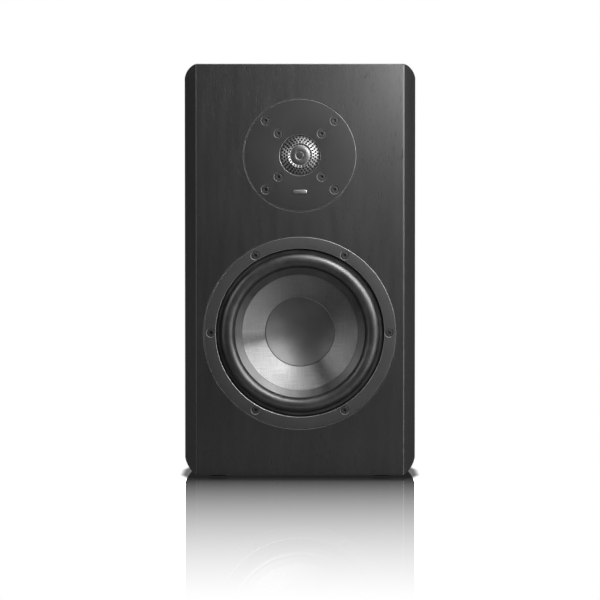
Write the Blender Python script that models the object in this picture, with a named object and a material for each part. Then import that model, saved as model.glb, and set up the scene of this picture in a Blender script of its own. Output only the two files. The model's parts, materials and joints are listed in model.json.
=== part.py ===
"""A two-way bookshelf loudspeaker, built as an assembly of separate pieces.

Every size is in millimetres and is turned into metres where a mesh is made. +Z is up and the
speaker faces -Y. The origin is on the floor, at the centre of the speaker's bounding box. A sub-part
is modelled about the empty it hangs on, whose local y is the depth behind the plane it is fitted to.
"""

import math

import bmesh
import bpy

MM = 0.001
GAP = 0.3  # left between pieces that touch

# Cabinet: six boards. In plan the sides flare from the baffle to the shoulder, then taper.
FOOT_HEIGHT = 2.5
CABINET_HEIGHT = 377.5
FRONT_HALF_WIDTH = 95.6
SHOULDER_HALF_WIDTH = 109.0
SHOULDER_DEPTH = 80.0
REAR_HALF_WIDTH = 84.0
CABINET_DEPTH = 275.0
EDGE_RADIUS = 12.4
BAFFLE_THICKNESS = 25.0
BOARD = 18.0
BRACE_DEPTH = 125.0
BRACE_THICKNESS = 15.0
BRACE_WINDOW_WIDTH = 118.0
BRACE_WINDOW_TALL = 130.0
BRACE_WINDOW_OFFSET = 84.0
FOOT_RADIUS = 9.5
FOOT_PLACES = [(-76, 26), (76, 26), (-66, 248), (66, 248)]
WADDING_WIDTH = 130.0
WADDING_TALL = 84.0
WADDING_HEIGHT = 174.0
WADDING_FRONT = 150.0
WADDING_REAR = 245.0
DRIVER_CLEARANCE = 0.5
PILOT_RADIUS = 2.2

BODY_LOW = FOOT_HEIGHT
BODY_HIGH = FOOT_HEIGHT + CABINET_HEIGHT
REAR_BOARD_FRONT = CABINET_DEPTH - BOARD
INSIDE_LOW = BODY_LOW + BOARD + GAP
INSIDE_HIGH = BODY_HIGH - BOARD - GAP

# Woofer
WOOFER_HEIGHT = 133.4
FLANGE_RADIUS = 88.2
FLANGE_BORE = 77.4
FLANGE_THICKNESS = 8.0
BASKET_RADIUS = 76.0
BASKET_BORE = 70.6
BASKET_WINDOWS = 6
WINDOW_HALF_ANGLE = 21
WINDOW_FRONT = 18.0
WINDOW_REAR = 40.0
SEAT_DEPTH = 5.7
WOOFER_SCREW_CIRCLE = 81.9
WOOFER_SCREWS = 6
ROLL_RADIUS = 66.9
ROLL_HALF_WIDTH = 6.7
ROLL_HEIGHT = 5.7
ROLL_FOOT_DEPTH = 4.5
RUBBER = 0.9
CONE_EDGE_RADIUS = 60.2
CONE_EDGE_DEPTH = 6.4
CONE_SLOPE = 0.62
CONE_THICKNESS = 0.8
CONE_NECK_RADIUS = 16.6
LIP_INNER_RADIUS = 53.4
CAP_RADIUS = 32.0
CAP_DISH = 9.0
CAP_THICKNESS = 0.6
SPIDER_LEDGE = 44.0
SPIDER_EDGE_RADIUS = 50.2
SPIDER_ROLL_RADIUS = 45.0
SPIDER_THICKNESS = 0.7
SPIDER_WAVES = 3.5
SPIDER_SWING = 1.5
MOTOR_FRONT = 57.0
COIL_INNER = 15.75
COIL_FORMER = 16.25
COIL_OUTER = 17.0
PLATE_THICKNESS = 6.0
WOOFER_PLATE_RADIUS = 46.0
WOOFER_MAGNET_RADIUS = 50.0
WOOFER_MAGNET_THICKNESS = 18.0
WOOFER_COIL_HALF_LENGTH = 7.0
WOOFER_POLE_RADIUS = 15.2
WOOFER_VENT_RADIUS = 5.0

# Tweeter
TWEETER_HEIGHT = 296.3
FACEPLATE_RADIUS = 51.5
FACEPLATE_BORE = 18.6
FACEPLATE_THICKNESS = 4.5
TWEETER_SCREW_CIRCLE = 44.6
MOTOR_SCREW_CIRCLE = 27.9
GRILLE_RADIUS = 18.2
GRILLE_CREST = -2.6
GRILLE_RIM_DEPTH = 2.7
GRILLE_THICKNESS = 0.6
DOME_RADIUS = 12.7
DOME_CREST = 1.4
DOME_RIM_DEPTH = 5.4
TWEETER_PLATE_FRONT = 6.5
TWEETER_MOTOR_RADIUS = 34.0
TWEETER_PLATE_THICKNESS = 4.0
TWEETER_MAGNET_THICKNESS = 10.0
TWEETER_POLE_RADIUS = 11.8
TWEETER_VENT_RADIUS = 4.0
TWEETER_COIL_INNER = 12.3
TWEETER_COIL_OUTER = 13.1

# Badge
BADGE_HEIGHT = 262.8
BADGE_WIDTH = 13.0
BADGE_TALL = 3.4
BADGE_RISE = 0.5

# Screws
COUNTERBORE_RADIUS = 4.35
HEAD_RADIUS = 3.4
HEAD_HEIGHT = 2.5
HEAD_RECESS = 0.2
SOCKET_RADIUS = 1.7
SOCKET_DEPTH = 1.8
WOOFER_SHANK = (1.9, 20.0)  # radius, and depth of its end
TWEETER_SHANK = (1.7, 19.0)
MOTOR_SHANK = (1.7, 8.4)

# Rear of the cabinet
PORT_HEIGHT = 275.0
PORT_RADIUS = 25.0
PORT_MOUTH_RADIUS = 34.0
PORT_FLANGE_RADIUS = 42.0
PORT_LENGTH = 105.0
PORT_WALL = 2.2
PORT_LIP = 2.5
PORT_FLARE = 17.0
PORT_INNER_FLARE = (6.0, 9.0)  # across and along the tube
TERMINAL_HEIGHT = 88.0
TERMINAL_WIDTH = 104.0
TERMINAL_TALL = 66.0
TERMINAL_THICKNESS = 4.0
TERMINAL_SCREW_X = 43.0
TERMINAL_SCREW_Z = 24.0
TERMINAL_WINDOW = (72.0, 40.0)
TERMINAL_SHANK_RADIUS = 1.5
TERMINAL_HEAD_HEIGHT = 2.0
POST_SPACING = 30.0
POST_RADIUS = 7.5
STUD_RADIUS = 3.0
STUD_LENGTH = 17.0
BANANA_RADIUS = 2.0
POST_BORE = 3.4
POST_SHANK_RADIUS = 2.4
POST_REAR = -22.0
CLAMP_LOW = 3.6
CLAMP_HIGH = 6.1
CAP_LENGTH = 13.6
FLUTES = 18
FLUTE_DEPTH = 0.6

# Crossover
BOARD_CENTRE_Y = 200.0
BOARD_WIDTH = 108.0
BOARD_LENGTH = 78.0
BOARD_SHEET = 1.6
INDUCTOR_X = -26.0
CAPACITOR_X = 26.0
LEAD_RADIUS = 2.0

FRONTMOST = GRILLE_CREST
REARMOST = CABINET_DEPTH + GAP + TERMINAL_THICKNESS + CLAMP_HIGH + GAP + CAP_LENGTH
FRONT_Y = -(FRONTMOST + REARMOST) / 2

WOOFER_SEGMENTS = 40
TWEETER_SEGMENTS = 24
MOTOR_SEGMENTS = 24
PORT_SEGMENTS = 28
ROLL_STEPS = 6
SCREW_SEGMENTS = 8
OVERCUT = 5.0  # how far a cutter runs past the piece it cuts


# Scene and materials

def clear_scene():
    for old in list(bpy.data.objects):
        bpy.data.objects.remove(old)


def material(name, colour, roughness, metallic=0.0):
    made = bpy.data.materials.new(name)
    made.use_nodes = True
    shader = made.node_tree.nodes["Principled BSDF"]
    shader.inputs["Base Color"].default_value = (*colour, 1.0)
    shader.inputs["Roughness"].default_value = roughness
    shader.inputs["Metallic"].default_value = metallic
    return made


def make_materials():
    return {
        "veneer": material("veneer", (0.030, 0.030, 0.031), 0.42),
        "board": material("board", (0.33, 0.24, 0.16), 0.85),
        "black_metal": material("black_metal", (0.042, 0.042, 0.043), 0.5, 0.2),
        "screw_black": material("screw_black", (0.03, 0.03, 0.03), 0.4, 0.6),
        "rubber": material("rubber", (0.012, 0.012, 0.012), 0.35),
        "cone_fibre": material("cone_fibre", (0.30, 0.30, 0.30), 0.4, 0.3),
        "cap_skin": material("cap_skin", (0.16, 0.16, 0.16), 0.4),
        "spider_cloth": material("spider_cloth", (0.35, 0.22, 0.08), 0.9),
        "copper": material("copper", (0.62, 0.27, 0.12), 0.35, 1.0),
        "steel": material("steel", (0.45, 0.45, 0.46), 0.35, 1.0),
        "ferrite": material("ferrite", (0.05, 0.05, 0.055), 0.6),
        "aluminium": material("aluminium", (0.62, 0.62, 0.63), 0.3, 1.0),
        "plastic": material("plastic", (0.02, 0.02, 0.02), 0.5),
        "gold": material("gold", (0.80, 0.55, 0.22), 0.25, 1.0),
        "red_plastic": material("red_plastic", (0.5, 0.02, 0.02), 0.35),
        "circuit_board": material("circuit_board", (0.05, 0.16, 0.07), 0.5),
        "wadding": material("wadding", (0.75, 0.75, 0.72), 0.95),
        "wire": material("wire", (0.35, 0.02, 0.02), 0.45),
    }


# Mesh helpers

def empty(name, place, parent=None):
    """A parent for a sub-assembly, at a point in millimetres in its own parent's space."""
    made = bpy.data.objects.new(name, None)
    made.location = [value * MM for value in place]
    made.parent = parent
    bpy.context.scene.collection.objects.link(made)
    return made


def solid(name, bm, parent, look=None, place=(0, 0, 0)):
    """Turns a bmesh in millimetres into an object in metres. With no material it is a cutter."""
    bmesh.ops.scale(bm, vec=(MM, MM, MM), verts=bm.verts)
    bmesh.ops.recalc_face_normals(bm, faces=bm.faces)
    mesh = bpy.data.meshes.new(name)
    bm.to_mesh(mesh)
    bm.free()
    made = bpy.data.objects.new(name, mesh)
    made.location = [value * MM for value in place]
    made.parent = parent
    bpy.context.scene.collection.objects.link(made)
    if look is None:
        made.hide_render = True
        made.display_type = "WIRE"
    else:
        mesh.materials.append(look)
        mesh.shade_smooth()
        mesh.set_sharp_from_angle(angle=math.radians(32))
    return made


def combine(piece, other, operation):
    modifier = piece.modifiers.new(other.name, "BOOLEAN")
    modifier.operation = operation
    modifier.solver = "EXACT"
    modifier.object = other


def cut(piece, *cutters):
    for cutter in cutters:
        combine(piece, cutter, "DIFFERENCE")


def spin_into(bm, profile, segments, centre=(0, 0)):
    """Adds a body turned about the Y axis through centre, an (x, z) point. The profile holds (radius, y)
    points. It is closed, unless it starts and ends on the axis."""
    closed = profile[0][0] > 0 or profile[-1][0] > 0
    x, z = centre
    verts = [bm.verts.new((x + radius, y, z)) for radius, y in profile]
    ends = verts[1:] + verts[:1] if closed else verts[1:]
    edges = [bm.edges.new(pair) for pair in zip(verts, ends)]
    bmesh.ops.spin(
        bm, geom=verts + edges, cent=(x, 0, z), axis=(0, 1, 0), angle=math.tau, steps=segments
    )
    bmesh.ops.remove_doubles(bm, verts=bm.verts, dist=0.001)


def turned(name, profile, segments, parent, look=None, place=(0, 0, 0)):
    bm = bmesh.new()
    spin_into(bm, profile, segments)
    return solid(name, bm, parent, look, place)


def turned_at(name, profile, segments, centres, parent):
    """One cutter with the same turned body at each (x, z) centre."""
    bm = bmesh.new()
    for centre in centres:
        spin_into(bm, profile, segments, centre)
    return solid(name, bm, parent)


def extrude_into(bm, outline, low, high, along):
    """Adds a prism. The outline holds (x, z) points if it runs along Y and (x, y) points along Z."""
    lift = {"Y": lambda u, v, w: (u, w, v), "Z": lambda u, v, w: (u, v, w)}[along]
    face = bm.faces.new([bm.verts.new(lift(u, v, low)) for u, v in outline])
    grown = bmesh.ops.extrude_face_region(bm, geom=[face])["geom"]
    moved = [item for item in grown if isinstance(item, bmesh.types.BMVert)]
    bmesh.ops.translate(bm, vec=lift(0, 0, high - low), verts=moved)


def prism(name, outline, low, high, along, parent, look=None, place=(0, 0, 0)):
    bm = bmesh.new()
    extrude_into(bm, outline, low, high, along)
    return solid(name, bm, parent, look, place)


# Outlines and places

def arc(centre, radius, start, end, steps):
    """Points on an arc, with angles in degrees. radius is one number or a pair of half axes."""
    across, up = radius if isinstance(radius, tuple) else (radius, radius)
    angles = [math.radians(start + (end - start) * i / steps) for i in range(steps + 1)]
    return [(centre[0] + across * math.cos(a), centre[1] + up * math.sin(a)) for a in angles]


def rounded_rectangle(width, height, radius, middle=(0, 0), steps=6):
    points = []
    for turn, (side, level) in enumerate([(1, 1), (-1, 1), (-1, -1), (1, -1)]):
        corner = (
            middle[0] + side * (width / 2 - radius),
            middle[1] + level * (height / 2 - radius),
        )
        points += arc(corner, radius, 90 * turn, 90 * turn + 90, steps)
    return points


def circle_places(count, radius, first_degrees=0.0):
    angles = [math.radians(first_degrees + 360 * i / count) for i in range(count)]
    return [(radius * math.cos(a), radius * math.sin(a)) for a in angles]


def half_width(depth):
    """Half the cabinet's outer width at a depth behind the baffle's face."""
    if depth <= SHOULDER_DEPTH:
        share = depth / SHOULDER_DEPTH
        return FRONT_HALF_WIDTH + share * (SHOULDER_HALF_WIDTH - FRONT_HALF_WIDTH)
    share = (depth - SHOULDER_DEPTH) / (CABINET_DEPTH - SHOULDER_DEPTH)
    return SHOULDER_HALF_WIDTH + share * (REAR_HALF_WIDTH - SHOULDER_HALF_WIDTH)


def plan(front, rear, inset=0.0):
    """The cabinet's outline from above between two depths, as (x, y) points."""
    depths = [front, SHOULDER_DEPTH, rear] if front < SHOULDER_DEPTH < rear else [front, rear]
    right = [(half_width(d) - inset, d) for d in depths]
    return right + [(-x, d) for x, d in reversed(right)]


def cone_depth(radius):
    """Depth of the cone's front face at a radius."""
    return CONE_EDGE_DEPTH + CONE_SLOPE * (CONE_EDGE_RADIUS - radius)


# Cabinet

def make_cabinet(origin, looks):
    section = prism(
        "rounded_section",
        rounded_rectangle(
            2 * SHOULDER_HALF_WIDTH, CABINET_HEIGHT, EDGE_RADIUS, (0, BODY_LOW + CABINET_HEIGHT / 2)
        ),
        -OVERCUT,
        CABINET_DEPTH + OVERCUT,
        "Y",
        origin,
    )
    baffle = prism(
        "front_baffle", plan(0, BAFFLE_THICKNESS), BODY_LOW, BODY_HIGH, "Z", origin, looks["veneer"]
    )
    combine(baffle, section, "INTERSECT")
    cut_baffle(baffle, origin)

    board_front = BAFFLE_THICKNESS + GAP
    board_rear = REAR_BOARD_FRONT - GAP
    for name, low in (("bottom_panel", BODY_LOW), ("top_panel", BODY_HIGH - BOARD)):
        board = prism(
            name, plan(board_front, board_rear), low, low + BOARD, "Z", origin, looks["veneer"]
        )
        combine(board, section, "INTERSECT")

    for name, side in (("side_panel_left", -1), ("side_panel_right", 1)):
        depths = [board_front, SHOULDER_DEPTH, board_rear]
        outer = [(side * half_width(d), d) for d in depths]
        inner = [(side * (half_width(d) - BOARD), d) for d in reversed(depths)]
        prism(name, outer + inner, INSIDE_LOW, INSIDE_HIGH, "Z", origin, looks["veneer"])

    rear = prism(
        "rear_panel", plan(REAR_BOARD_FRONT, CABINET_DEPTH), BODY_LOW, BODY_HIGH, "Z", origin,
        looks["veneer"],
    )
    cut_rear_panel(rear, origin)
    make_brace(origin, looks)
    make_feet(origin, looks)
    make_wadding(origin, looks)
    make_badge(origin, looks)


def cut_baffle(baffle, origin):
    """Stepped holes for the two drivers, and a pilot hole for each screw."""
    front, rear = -OVERCUT, BAFFLE_THICKNESS + OVERCUT
    tweeter_hole = TWEETER_MOTOR_RADIUS + 2
    drivers = (
        ("woofer", WOOFER_HEIGHT, FLANGE_RADIUS, FLANGE_THICKNESS, BASKET_RADIUS),
        ("tweeter", TWEETER_HEIGHT, FACEPLATE_RADIUS, FACEPLATE_THICKNESS, tweeter_hole),
    )
    for name, height, radius, thickness, hole in drivers:
        wide, narrow = radius + DRIVER_CLEARANCE, hole + DRIVER_CLEARANCE
        ledge = thickness + GAP
        profile = [(0, front), (wide, front), (wide, ledge), (narrow, ledge), (narrow, rear), (0, rear)]
        cut(baffle, turned(f"{name}_hole", profile, WOOFER_SEGMENTS, origin, place=(0, 0, height)))
    screws = [(x, z + WOOFER_HEIGHT) for x, z in circle_places(WOOFER_SCREWS, WOOFER_SCREW_CIRCLE)]
    screws += [(x, z + TWEETER_HEIGHT) for x, z in circle_places(4, TWEETER_SCREW_CIRCLE, 45)]
    pilot = [(0, 1), (PILOT_RADIUS, 1), (PILOT_RADIUS, rear), (0, rear)]
    cut(baffle, turned_at("pilot_holes", pilot, 8, screws, origin))


def cut_rear_panel(rear, origin):
    front, back = REAR_BOARD_FRONT - OVERCUT, CABINET_DEPTH + OVERCUT
    radius = PORT_MOUTH_RADIUS + 0.2
    port = [(0, front), (radius, front), (radius, back), (0, back)]
    cut(rear, turned("port_hole", port, PORT_SEGMENTS, origin, place=(0, 0, PORT_HEIGHT)))
    window = rounded_rectangle(*TERMINAL_WINDOW, 5, (0, TERMINAL_HEIGHT), 3)
    cut(rear, prism("terminal_hole", window, front, back, "Y", origin))
    end, radius = REAR_BOARD_FRONT + 2, 1.9
    pilot = [(0, end), (radius, end), (radius, back), (0, back)]
    cut(rear, turned_at("terminal_pilots", pilot, 8, terminal_screw_places(), origin))


def make_brace(origin, looks):
    front, rear = BRACE_DEPTH, BRACE_DEPTH + BRACE_THICKNESS
    brace = prism(
        "window_brace", plan(front, rear, BOARD + GAP), INSIDE_LOW + GAP, INSIDE_HIGH - GAP, "Z",
        origin, looks["board"],
    )
    middle = (INSIDE_LOW + INSIDE_HIGH) / 2
    for name, offset in (("lower", -BRACE_WINDOW_OFFSET), ("upper", BRACE_WINDOW_OFFSET)):
        window = rounded_rectangle(
            BRACE_WINDOW_WIDTH, BRACE_WINDOW_TALL, 15, (0, middle + offset), 4
        )
        cutter = prism(
            f"brace_window_{name}", window, front - OVERCUT, rear + OVERCUT, "Y", origin
        )
        cut(brace, cutter)


def make_feet(origin, looks):
    """Four self-adhesive rubber discs."""
    foot = [(FOOT_RADIUS - 0.5, 0), (FOOT_RADIUS, 0.6), (FOOT_RADIUS, FOOT_HEIGHT - GAP)]
    for number, (x, y) in enumerate(FOOT_PLACES, 1):
        bm = bmesh.new()
        rings = [
            [bm.verts.new((r * math.cos(a), r * math.sin(a), z)) for a in angles(16)]
            for r, z in foot
        ]
        bm.faces.new(rings[0])
        bm.faces.new(rings[-1])
        for lower, upper in zip(rings, rings[1:]):
            loop = [bm.edges.get(pair) or bm.edges.new(pair) for pair in ring_pairs(lower)]
            loop += [bm.edges.get(pair) or bm.edges.new(pair) for pair in ring_pairs(upper)]
            bmesh.ops.bridge_loops(bm, edges=loop)
        solid(f"foot_{number}", bm, origin, looks["rubber"], (x, y, 0))


def angles(count):
    return [math.tau * i / count for i in range(count)]


def ring_pairs(ring):
    return list(zip(ring, ring[1:] + ring[:1]))


def make_wadding(origin, looks):
    """A block of acoustic wadding behind the brace, between the port and the crossover."""
    block = rounded_rectangle(WADDING_WIDTH, WADDING_TALL, 18, (0, WADDING_HEIGHT), 3)
    prism("acoustic_wadding", block, WADDING_FRONT, WADDING_REAR, "Y", origin, looks["wadding"])


def make_badge(origin, looks):
    """A plain bar stuck to the faceplate of the tweeter, below its dome."""
    bar = rounded_rectangle(BADGE_WIDTH, BADGE_TALL, BADGE_TALL / 2 - 0.1, (0, BADGE_HEIGHT), 4)
    prism("badge", bar, -GAP - BADGE_RISE, -GAP, "Y", origin, looks["aluminium"])


# Woofer

def make_woofer(axis, looks):
    make_woofer_frame(axis, looks)
    make_surround(axis, looks)
    make_spider(axis, looks)
    make_cone(axis, looks)
    make_woofer_motor(axis, looks)
    for number, place in enumerate(circle_places(WOOFER_SCREWS, WOOFER_SCREW_CIRCLE), 1):
        make_screw(f"woofer_screw_{number}", place, WOOFER_SHANK, axis, looks)


def make_woofer_frame(axis, looks):
    """A cast basket: flange, seat for the surround, six arms, spider ledge and motor plate."""
    profile = [
        (FLANGE_RADIUS, 0), (FLANGE_BORE, 0), (FLANGE_BORE, SEAT_DEPTH), (BASKET_BORE, SEAT_DEPTH),
        (BASKET_BORE, 10), (50.8, 41), (50.8, SPIDER_LEDGE), (45.5, SPIDER_LEDGE), (45.5, 54), (24, 54),
        (24, MOTOR_FRONT), (50.5, MOTOR_FRONT), (53.8, SPIDER_LEDGE), (74.2, 13.5),
        (BASKET_RADIUS, 10.8), (BASKET_RADIUS, FLANGE_THICKNESS), (FLANGE_RADIUS, FLANGE_THICKNESS),
    ]
    frame = turned("woofer_frame", profile, WOOFER_SEGMENTS, axis, looks["black_metal"])
    spread = math.tan(math.radians(WINDOW_HALF_ANGLE))
    bm = bmesh.new()
    for direction in angles(BASKET_WINDOWS):
        sector = [(35, -35 * spread), (95, -95 * spread), (95, 95 * spread), (35, 35 * spread)]
        cosine, sine = math.cos(direction), math.sin(direction)
        outline = [(u * cosine - v * sine, u * sine + v * cosine) for u, v in sector]
        extrude_into(bm, outline, WINDOW_FRONT, WINDOW_REAR, "Y")
    windows = solid("basket_windows", bm, axis)
    places = circle_places(WOOFER_SCREWS, WOOFER_SCREW_CIRCLE)
    cut(frame, windows, counterbores("flange_counterbores", 3.7, FLANGE_THICKNESS, places, axis))


def counterbores(name, seat, thickness, places, parent):
    """Stepped holes that take a screw's head down to a seat."""
    head = [(0, -OVERCUT), (COUNTERBORE_RADIUS, -OVERCUT), (COUNTERBORE_RADIUS, seat)]
    rear = thickness + OVERCUT
    shank = [(PILOT_RADIUS, seat), (PILOT_RADIUS, rear), (0, rear)]
    return turned_at(name, head + shank, 10, places, parent)


def make_surround(axis, looks):
    """The half-roll of rubber, with a foot on the basket's seat and a lip over the cone's edge."""
    centre = (ROLL_RADIUS, ROLL_FOOT_DEPTH)
    outer = (ROLL_HALF_WIDTH, ROLL_HEIGHT)
    inner = (ROLL_HALF_WIDTH - RUBBER, ROLL_HEIGHT - RUBBER)
    lip_step = GAP + RUBBER
    front = [(FLANGE_BORE - 0.5, ROLL_FOOT_DEPTH)]
    front += arc(centre, outer, 0, -180, ROLL_STEPS)
    front += [(r, cone_depth(r) - lip_step) for r in (CONE_EDGE_RADIUS, LIP_INNER_RADIUS)]
    back = [(r, cone_depth(r) - GAP) for r in (LIP_INNER_RADIUS, CONE_EDGE_RADIUS)]
    back += [(ROLL_RADIUS - inner[0], ROLL_FOOT_DEPTH + RUBBER)]
    back += arc(centre, inner, -180, 0, ROLL_STEPS)
    back += [(ROLL_RADIUS + inner[0], ROLL_FOOT_DEPTH + RUBBER)]
    back += [(FLANGE_BORE - 0.5, ROLL_FOOT_DEPTH + RUBBER)]
    turned("woofer_surround", front + back, WOOFER_SEGMENTS, axis, looks["rubber"])


def make_spider(axis, looks):
    """The corrugated cloth that centres the voice coil."""
    middle = SPIDER_LEDGE - GAP - SPIDER_THICKNESS
    inside = COIL_FORMER + 0.45
    steps = 10
    top = [(SPIDER_EDGE_RADIUS, middle)]
    for i in range(steps + 1):
        share = i / steps
        wave = abs(math.sin(SPIDER_WAVES * math.pi * share))
        radius = SPIDER_ROLL_RADIUS + (inside - SPIDER_ROLL_RADIUS) * share
        top.append((radius, middle - SPIDER_SWING * wave))
    bottom = [(radius, y + SPIDER_THICKNESS) for radius, y in reversed(top)]
    turned("woofer_spider", top + bottom, MOTOR_SEGMENTS, axis, looks["spider_cloth"])


def make_cone(axis, looks):
    cone = [(r, cone_depth(r)) for r in (CONE_EDGE_RADIUS, CONE_NECK_RADIUS)]
    cone += [(r, y + CONE_THICKNESS) for r, y in reversed(cone)]
    turned("woofer_cone", cone, WOOFER_SEGMENTS, axis, looks["cone_fibre"])

    rim = cone_depth(CAP_RADIUS) - GAP - CAP_THICKNESS
    steps = 5
    radii = [CAP_RADIUS * (1 - i / steps) for i in range(steps + 1)]
    dish = [(r, rim + CAP_DISH * (1 - (r / CAP_RADIUS) ** 2)) for r in radii]
    outline = list(reversed(dish)) + [(r, y + CAP_THICKNESS) for r, y in dish]
    turned("woofer_dust_cap", outline, WOOFER_SEGMENTS, axis, looks["cap_skin"])


def make_woofer_motor(axis, looks):
    """Voice coil on its former, and the magnet clamped between the front plate and the yoke."""
    front_plate = MOTOR_FRONT + GAP
    magnet = front_plate + PLATE_THICKNESS + GAP
    yoke = magnet + WOOFER_MAGNET_THICKNESS + GAP
    gap_middle = front_plate + PLATE_THICKNESS / 2
    top, bottom = 31.3, gap_middle + 8
    start, end = gap_middle - WOOFER_COIL_HALF_LENGTH, gap_middle + WOOFER_COIL_HALF_LENGTH
    coil = [
        (COIL_INNER, top), (COIL_FORMER, top), (COIL_FORMER, start), (COIL_OUTER, start),
        (COIL_OUTER, end), (COIL_FORMER, end), (COIL_FORMER, bottom), (COIL_INNER, bottom),
    ]
    turned("woofer_voice_coil", coil, MOTOR_SEGMENTS, axis, looks["copper"])
    outer = WOOFER_PLATE_RADIUS
    ring_between(
        "woofer_front_plate", COIL_OUTER + 0.7, outer, front_plate, PLATE_THICKNESS, axis,
        looks["steel"],
    )
    ring_between(
        "woofer_magnet", 26, WOOFER_MAGNET_RADIUS, magnet, WOOFER_MAGNET_THICKNESS, axis,
        looks["ferrite"],
    )
    vent, pole = WOOFER_VENT_RADIUS, WOOFER_POLE_RADIUS
    profile = [
        (vent, front_plate), (pole, front_plate), (pole, yoke), (outer, yoke),
        (outer, yoke + PLATE_THICKNESS), (vent, yoke + PLATE_THICKNESS),
    ]
    turned("woofer_yoke", profile, MOTOR_SEGMENTS, axis, looks["steel"])


def ring_between(name, inner, outer, front, thickness, axis, look):
    rear = front + thickness
    profile = [(inner, front), (outer, front), (outer, rear), (inner, rear)]
    return turned(name, profile, MOTOR_SEGMENTS, axis, look)


def make_screw(name, place, shank, parent, looks, top=HEAD_RECESS):
    """A socket-head screw whose head lies a little below the surface, at an (x, z) place."""
    shank_radius, end = shank
    shoulder = top + HEAD_HEIGHT
    profile = [
        (0, top), (HEAD_RADIUS, top), (HEAD_RADIUS, shoulder), (shank_radius, shoulder),
        (shank_radius, end), (0, end + shank_radius),
    ]
    where = (place[0], 0, place[1])
    screw = turned(name, profile, SCREW_SEGMENTS, parent, looks["screw_black"], where)
    hexagon = circle_places(6, SOCKET_RADIUS)
    socket = prism(
        f"{name}_socket", hexagon, top - OVERCUT, top + SOCKET_DEPTH, "Y", parent, place=where
    )
    cut(screw, socket)


# Tweeter

def make_tweeter(axis, looks):
    make_faceplate(axis, looks)
    make_grille(axis, looks)
    make_dome(axis, looks)
    make_tweeter_motor(axis, looks)
    for number, place in enumerate(circle_places(4, TWEETER_SCREW_CIRCLE, 45), 1):
        make_screw(f"tweeter_screw_{number}", place, TWEETER_SHANK, axis, looks)
    for number, place in enumerate(circle_places(4, MOTOR_SCREW_CIRCLE, 45), 1):
        make_screw(f"tweeter_motor_screw_{number}", place, MOTOR_SHANK, axis, looks)


def make_faceplate(axis, looks):
    seat = GRILLE_RIM_DEPTH + GAP
    bore = 16.6
    profile = [
        (FACEPLATE_RADIUS, 0), (FACEPLATE_BORE, 0), (FACEPLATE_BORE, seat), (bore, seat),
        (bore, FACEPLATE_THICKNESS), (FACEPLATE_RADIUS, FACEPLATE_THICKNESS),
    ]
    plate = turned("tweeter_faceplate", profile, WOOFER_SEGMENTS, axis, looks["black_metal"])
    places = circle_places(4, TWEETER_SCREW_CIRCLE, 45) + circle_places(4, MOTOR_SCREW_CIRCLE, 45)
    cut(plate, counterbores("faceplate_counterbores", 3.0, FACEPLATE_THICKNESS, places, axis))


def make_grille(axis, looks):
    """A pressed metal dome over the diaphragm, with a ring of holes round its solid centre."""
    steps = 4
    rise = GRILLE_RIM_DEPTH - GRILLE_THICKNESS - GRILLE_CREST
    radii = [GRILLE_RADIUS * i / steps for i in range(steps + 1)]
    front = [(r, GRILLE_CREST + rise * (r / GRILLE_RADIUS) ** 2) for r in radii]
    back = [(r, y + GRILLE_THICKNESS) for r, y in reversed(front)]
    grille = turned("tweeter_grille", front + back, TWEETER_SEGMENTS, axis, looks["black_metal"])
    hole = [(0, -6), (1.5, -6), (1.5, 6), (0, 6)]
    cut(grille, turned_at("grille_holes", hole, 6, circle_places(12, 14.6) + [(0, 0)], axis))


def make_dome(axis, looks):
    """A metal dome with its small roll and lip, and the voice coil that hangs from it."""
    thickness, steps = 0.4, 4
    rise = DOME_RIM_DEPTH - DOME_CREST
    radii = [DOME_RADIUS * i / steps for i in range(steps + 1)]
    front = [(r, DOME_CREST + rise * (r / DOME_RADIUS) ** 2) for r in radii]
    front += [(14.3, DOME_RIM_DEPTH - 1.0), (15.9, DOME_RIM_DEPTH), (18.4, DOME_RIM_DEPTH)]
    back = [(r, y + thickness) for r, y in reversed(front)]
    turned("tweeter_dome", front + back, TWEETER_SEGMENTS, axis, looks["aluminium"])
    top = DOME_RIM_DEPTH + thickness + GAP
    inner, former, outer = TWEETER_COIL_INNER, DOME_RADIUS, TWEETER_COIL_OUTER
    coil = [
        (inner, top), (former, top), (former, 7.0), (outer, 7.0), (outer, 10.0), (former, 10.0),
        (former, 11.0), (inner, 11.0),
    ]
    turned("tweeter_voice_coil", coil, TWEETER_SEGMENTS, axis, looks["copper"])


def make_tweeter_motor(axis, looks):
    """The magnet clamped between the front plate, which the four inner screws hold, and the yoke."""
    front, plate = TWEETER_PLATE_FRONT, TWEETER_PLATE_THICKNESS
    outer = TWEETER_MOTOR_RADIUS
    inner = TWEETER_COIL_OUTER + 0.5
    ring = ring_between("tweeter_front_plate", inner, outer, front, plate, axis, looks["steel"])
    radius, rear = 2.1, front + plate + OVERCUT
    hole = [(0, front - OVERCUT), (radius, front - OVERCUT), (radius, rear), (0, rear)]
    places = circle_places(4, MOTOR_SCREW_CIRCLE, 45)
    cut(ring, turned_at("motor_screw_holes", hole, 8, places, axis))
    magnet = front + plate + GAP
    ring_between(
        "tweeter_magnet", 16.5, outer, magnet, TWEETER_MAGNET_THICKNESS, axis, looks["ferrite"]
    )
    yoke = magnet + TWEETER_MAGNET_THICKNESS + GAP
    vent, pole = TWEETER_VENT_RADIUS, TWEETER_POLE_RADIUS
    profile = [
        (vent, front + 0.5), (pole, front + 0.5), (pole, yoke), (outer, yoke), (outer, yoke + plate),
        (vent, yoke + plate),
    ]
    turned("tweeter_yoke", profile, TWEETER_SEGMENTS, axis, looks["steel"])


# Port, terminals and crossover

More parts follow.
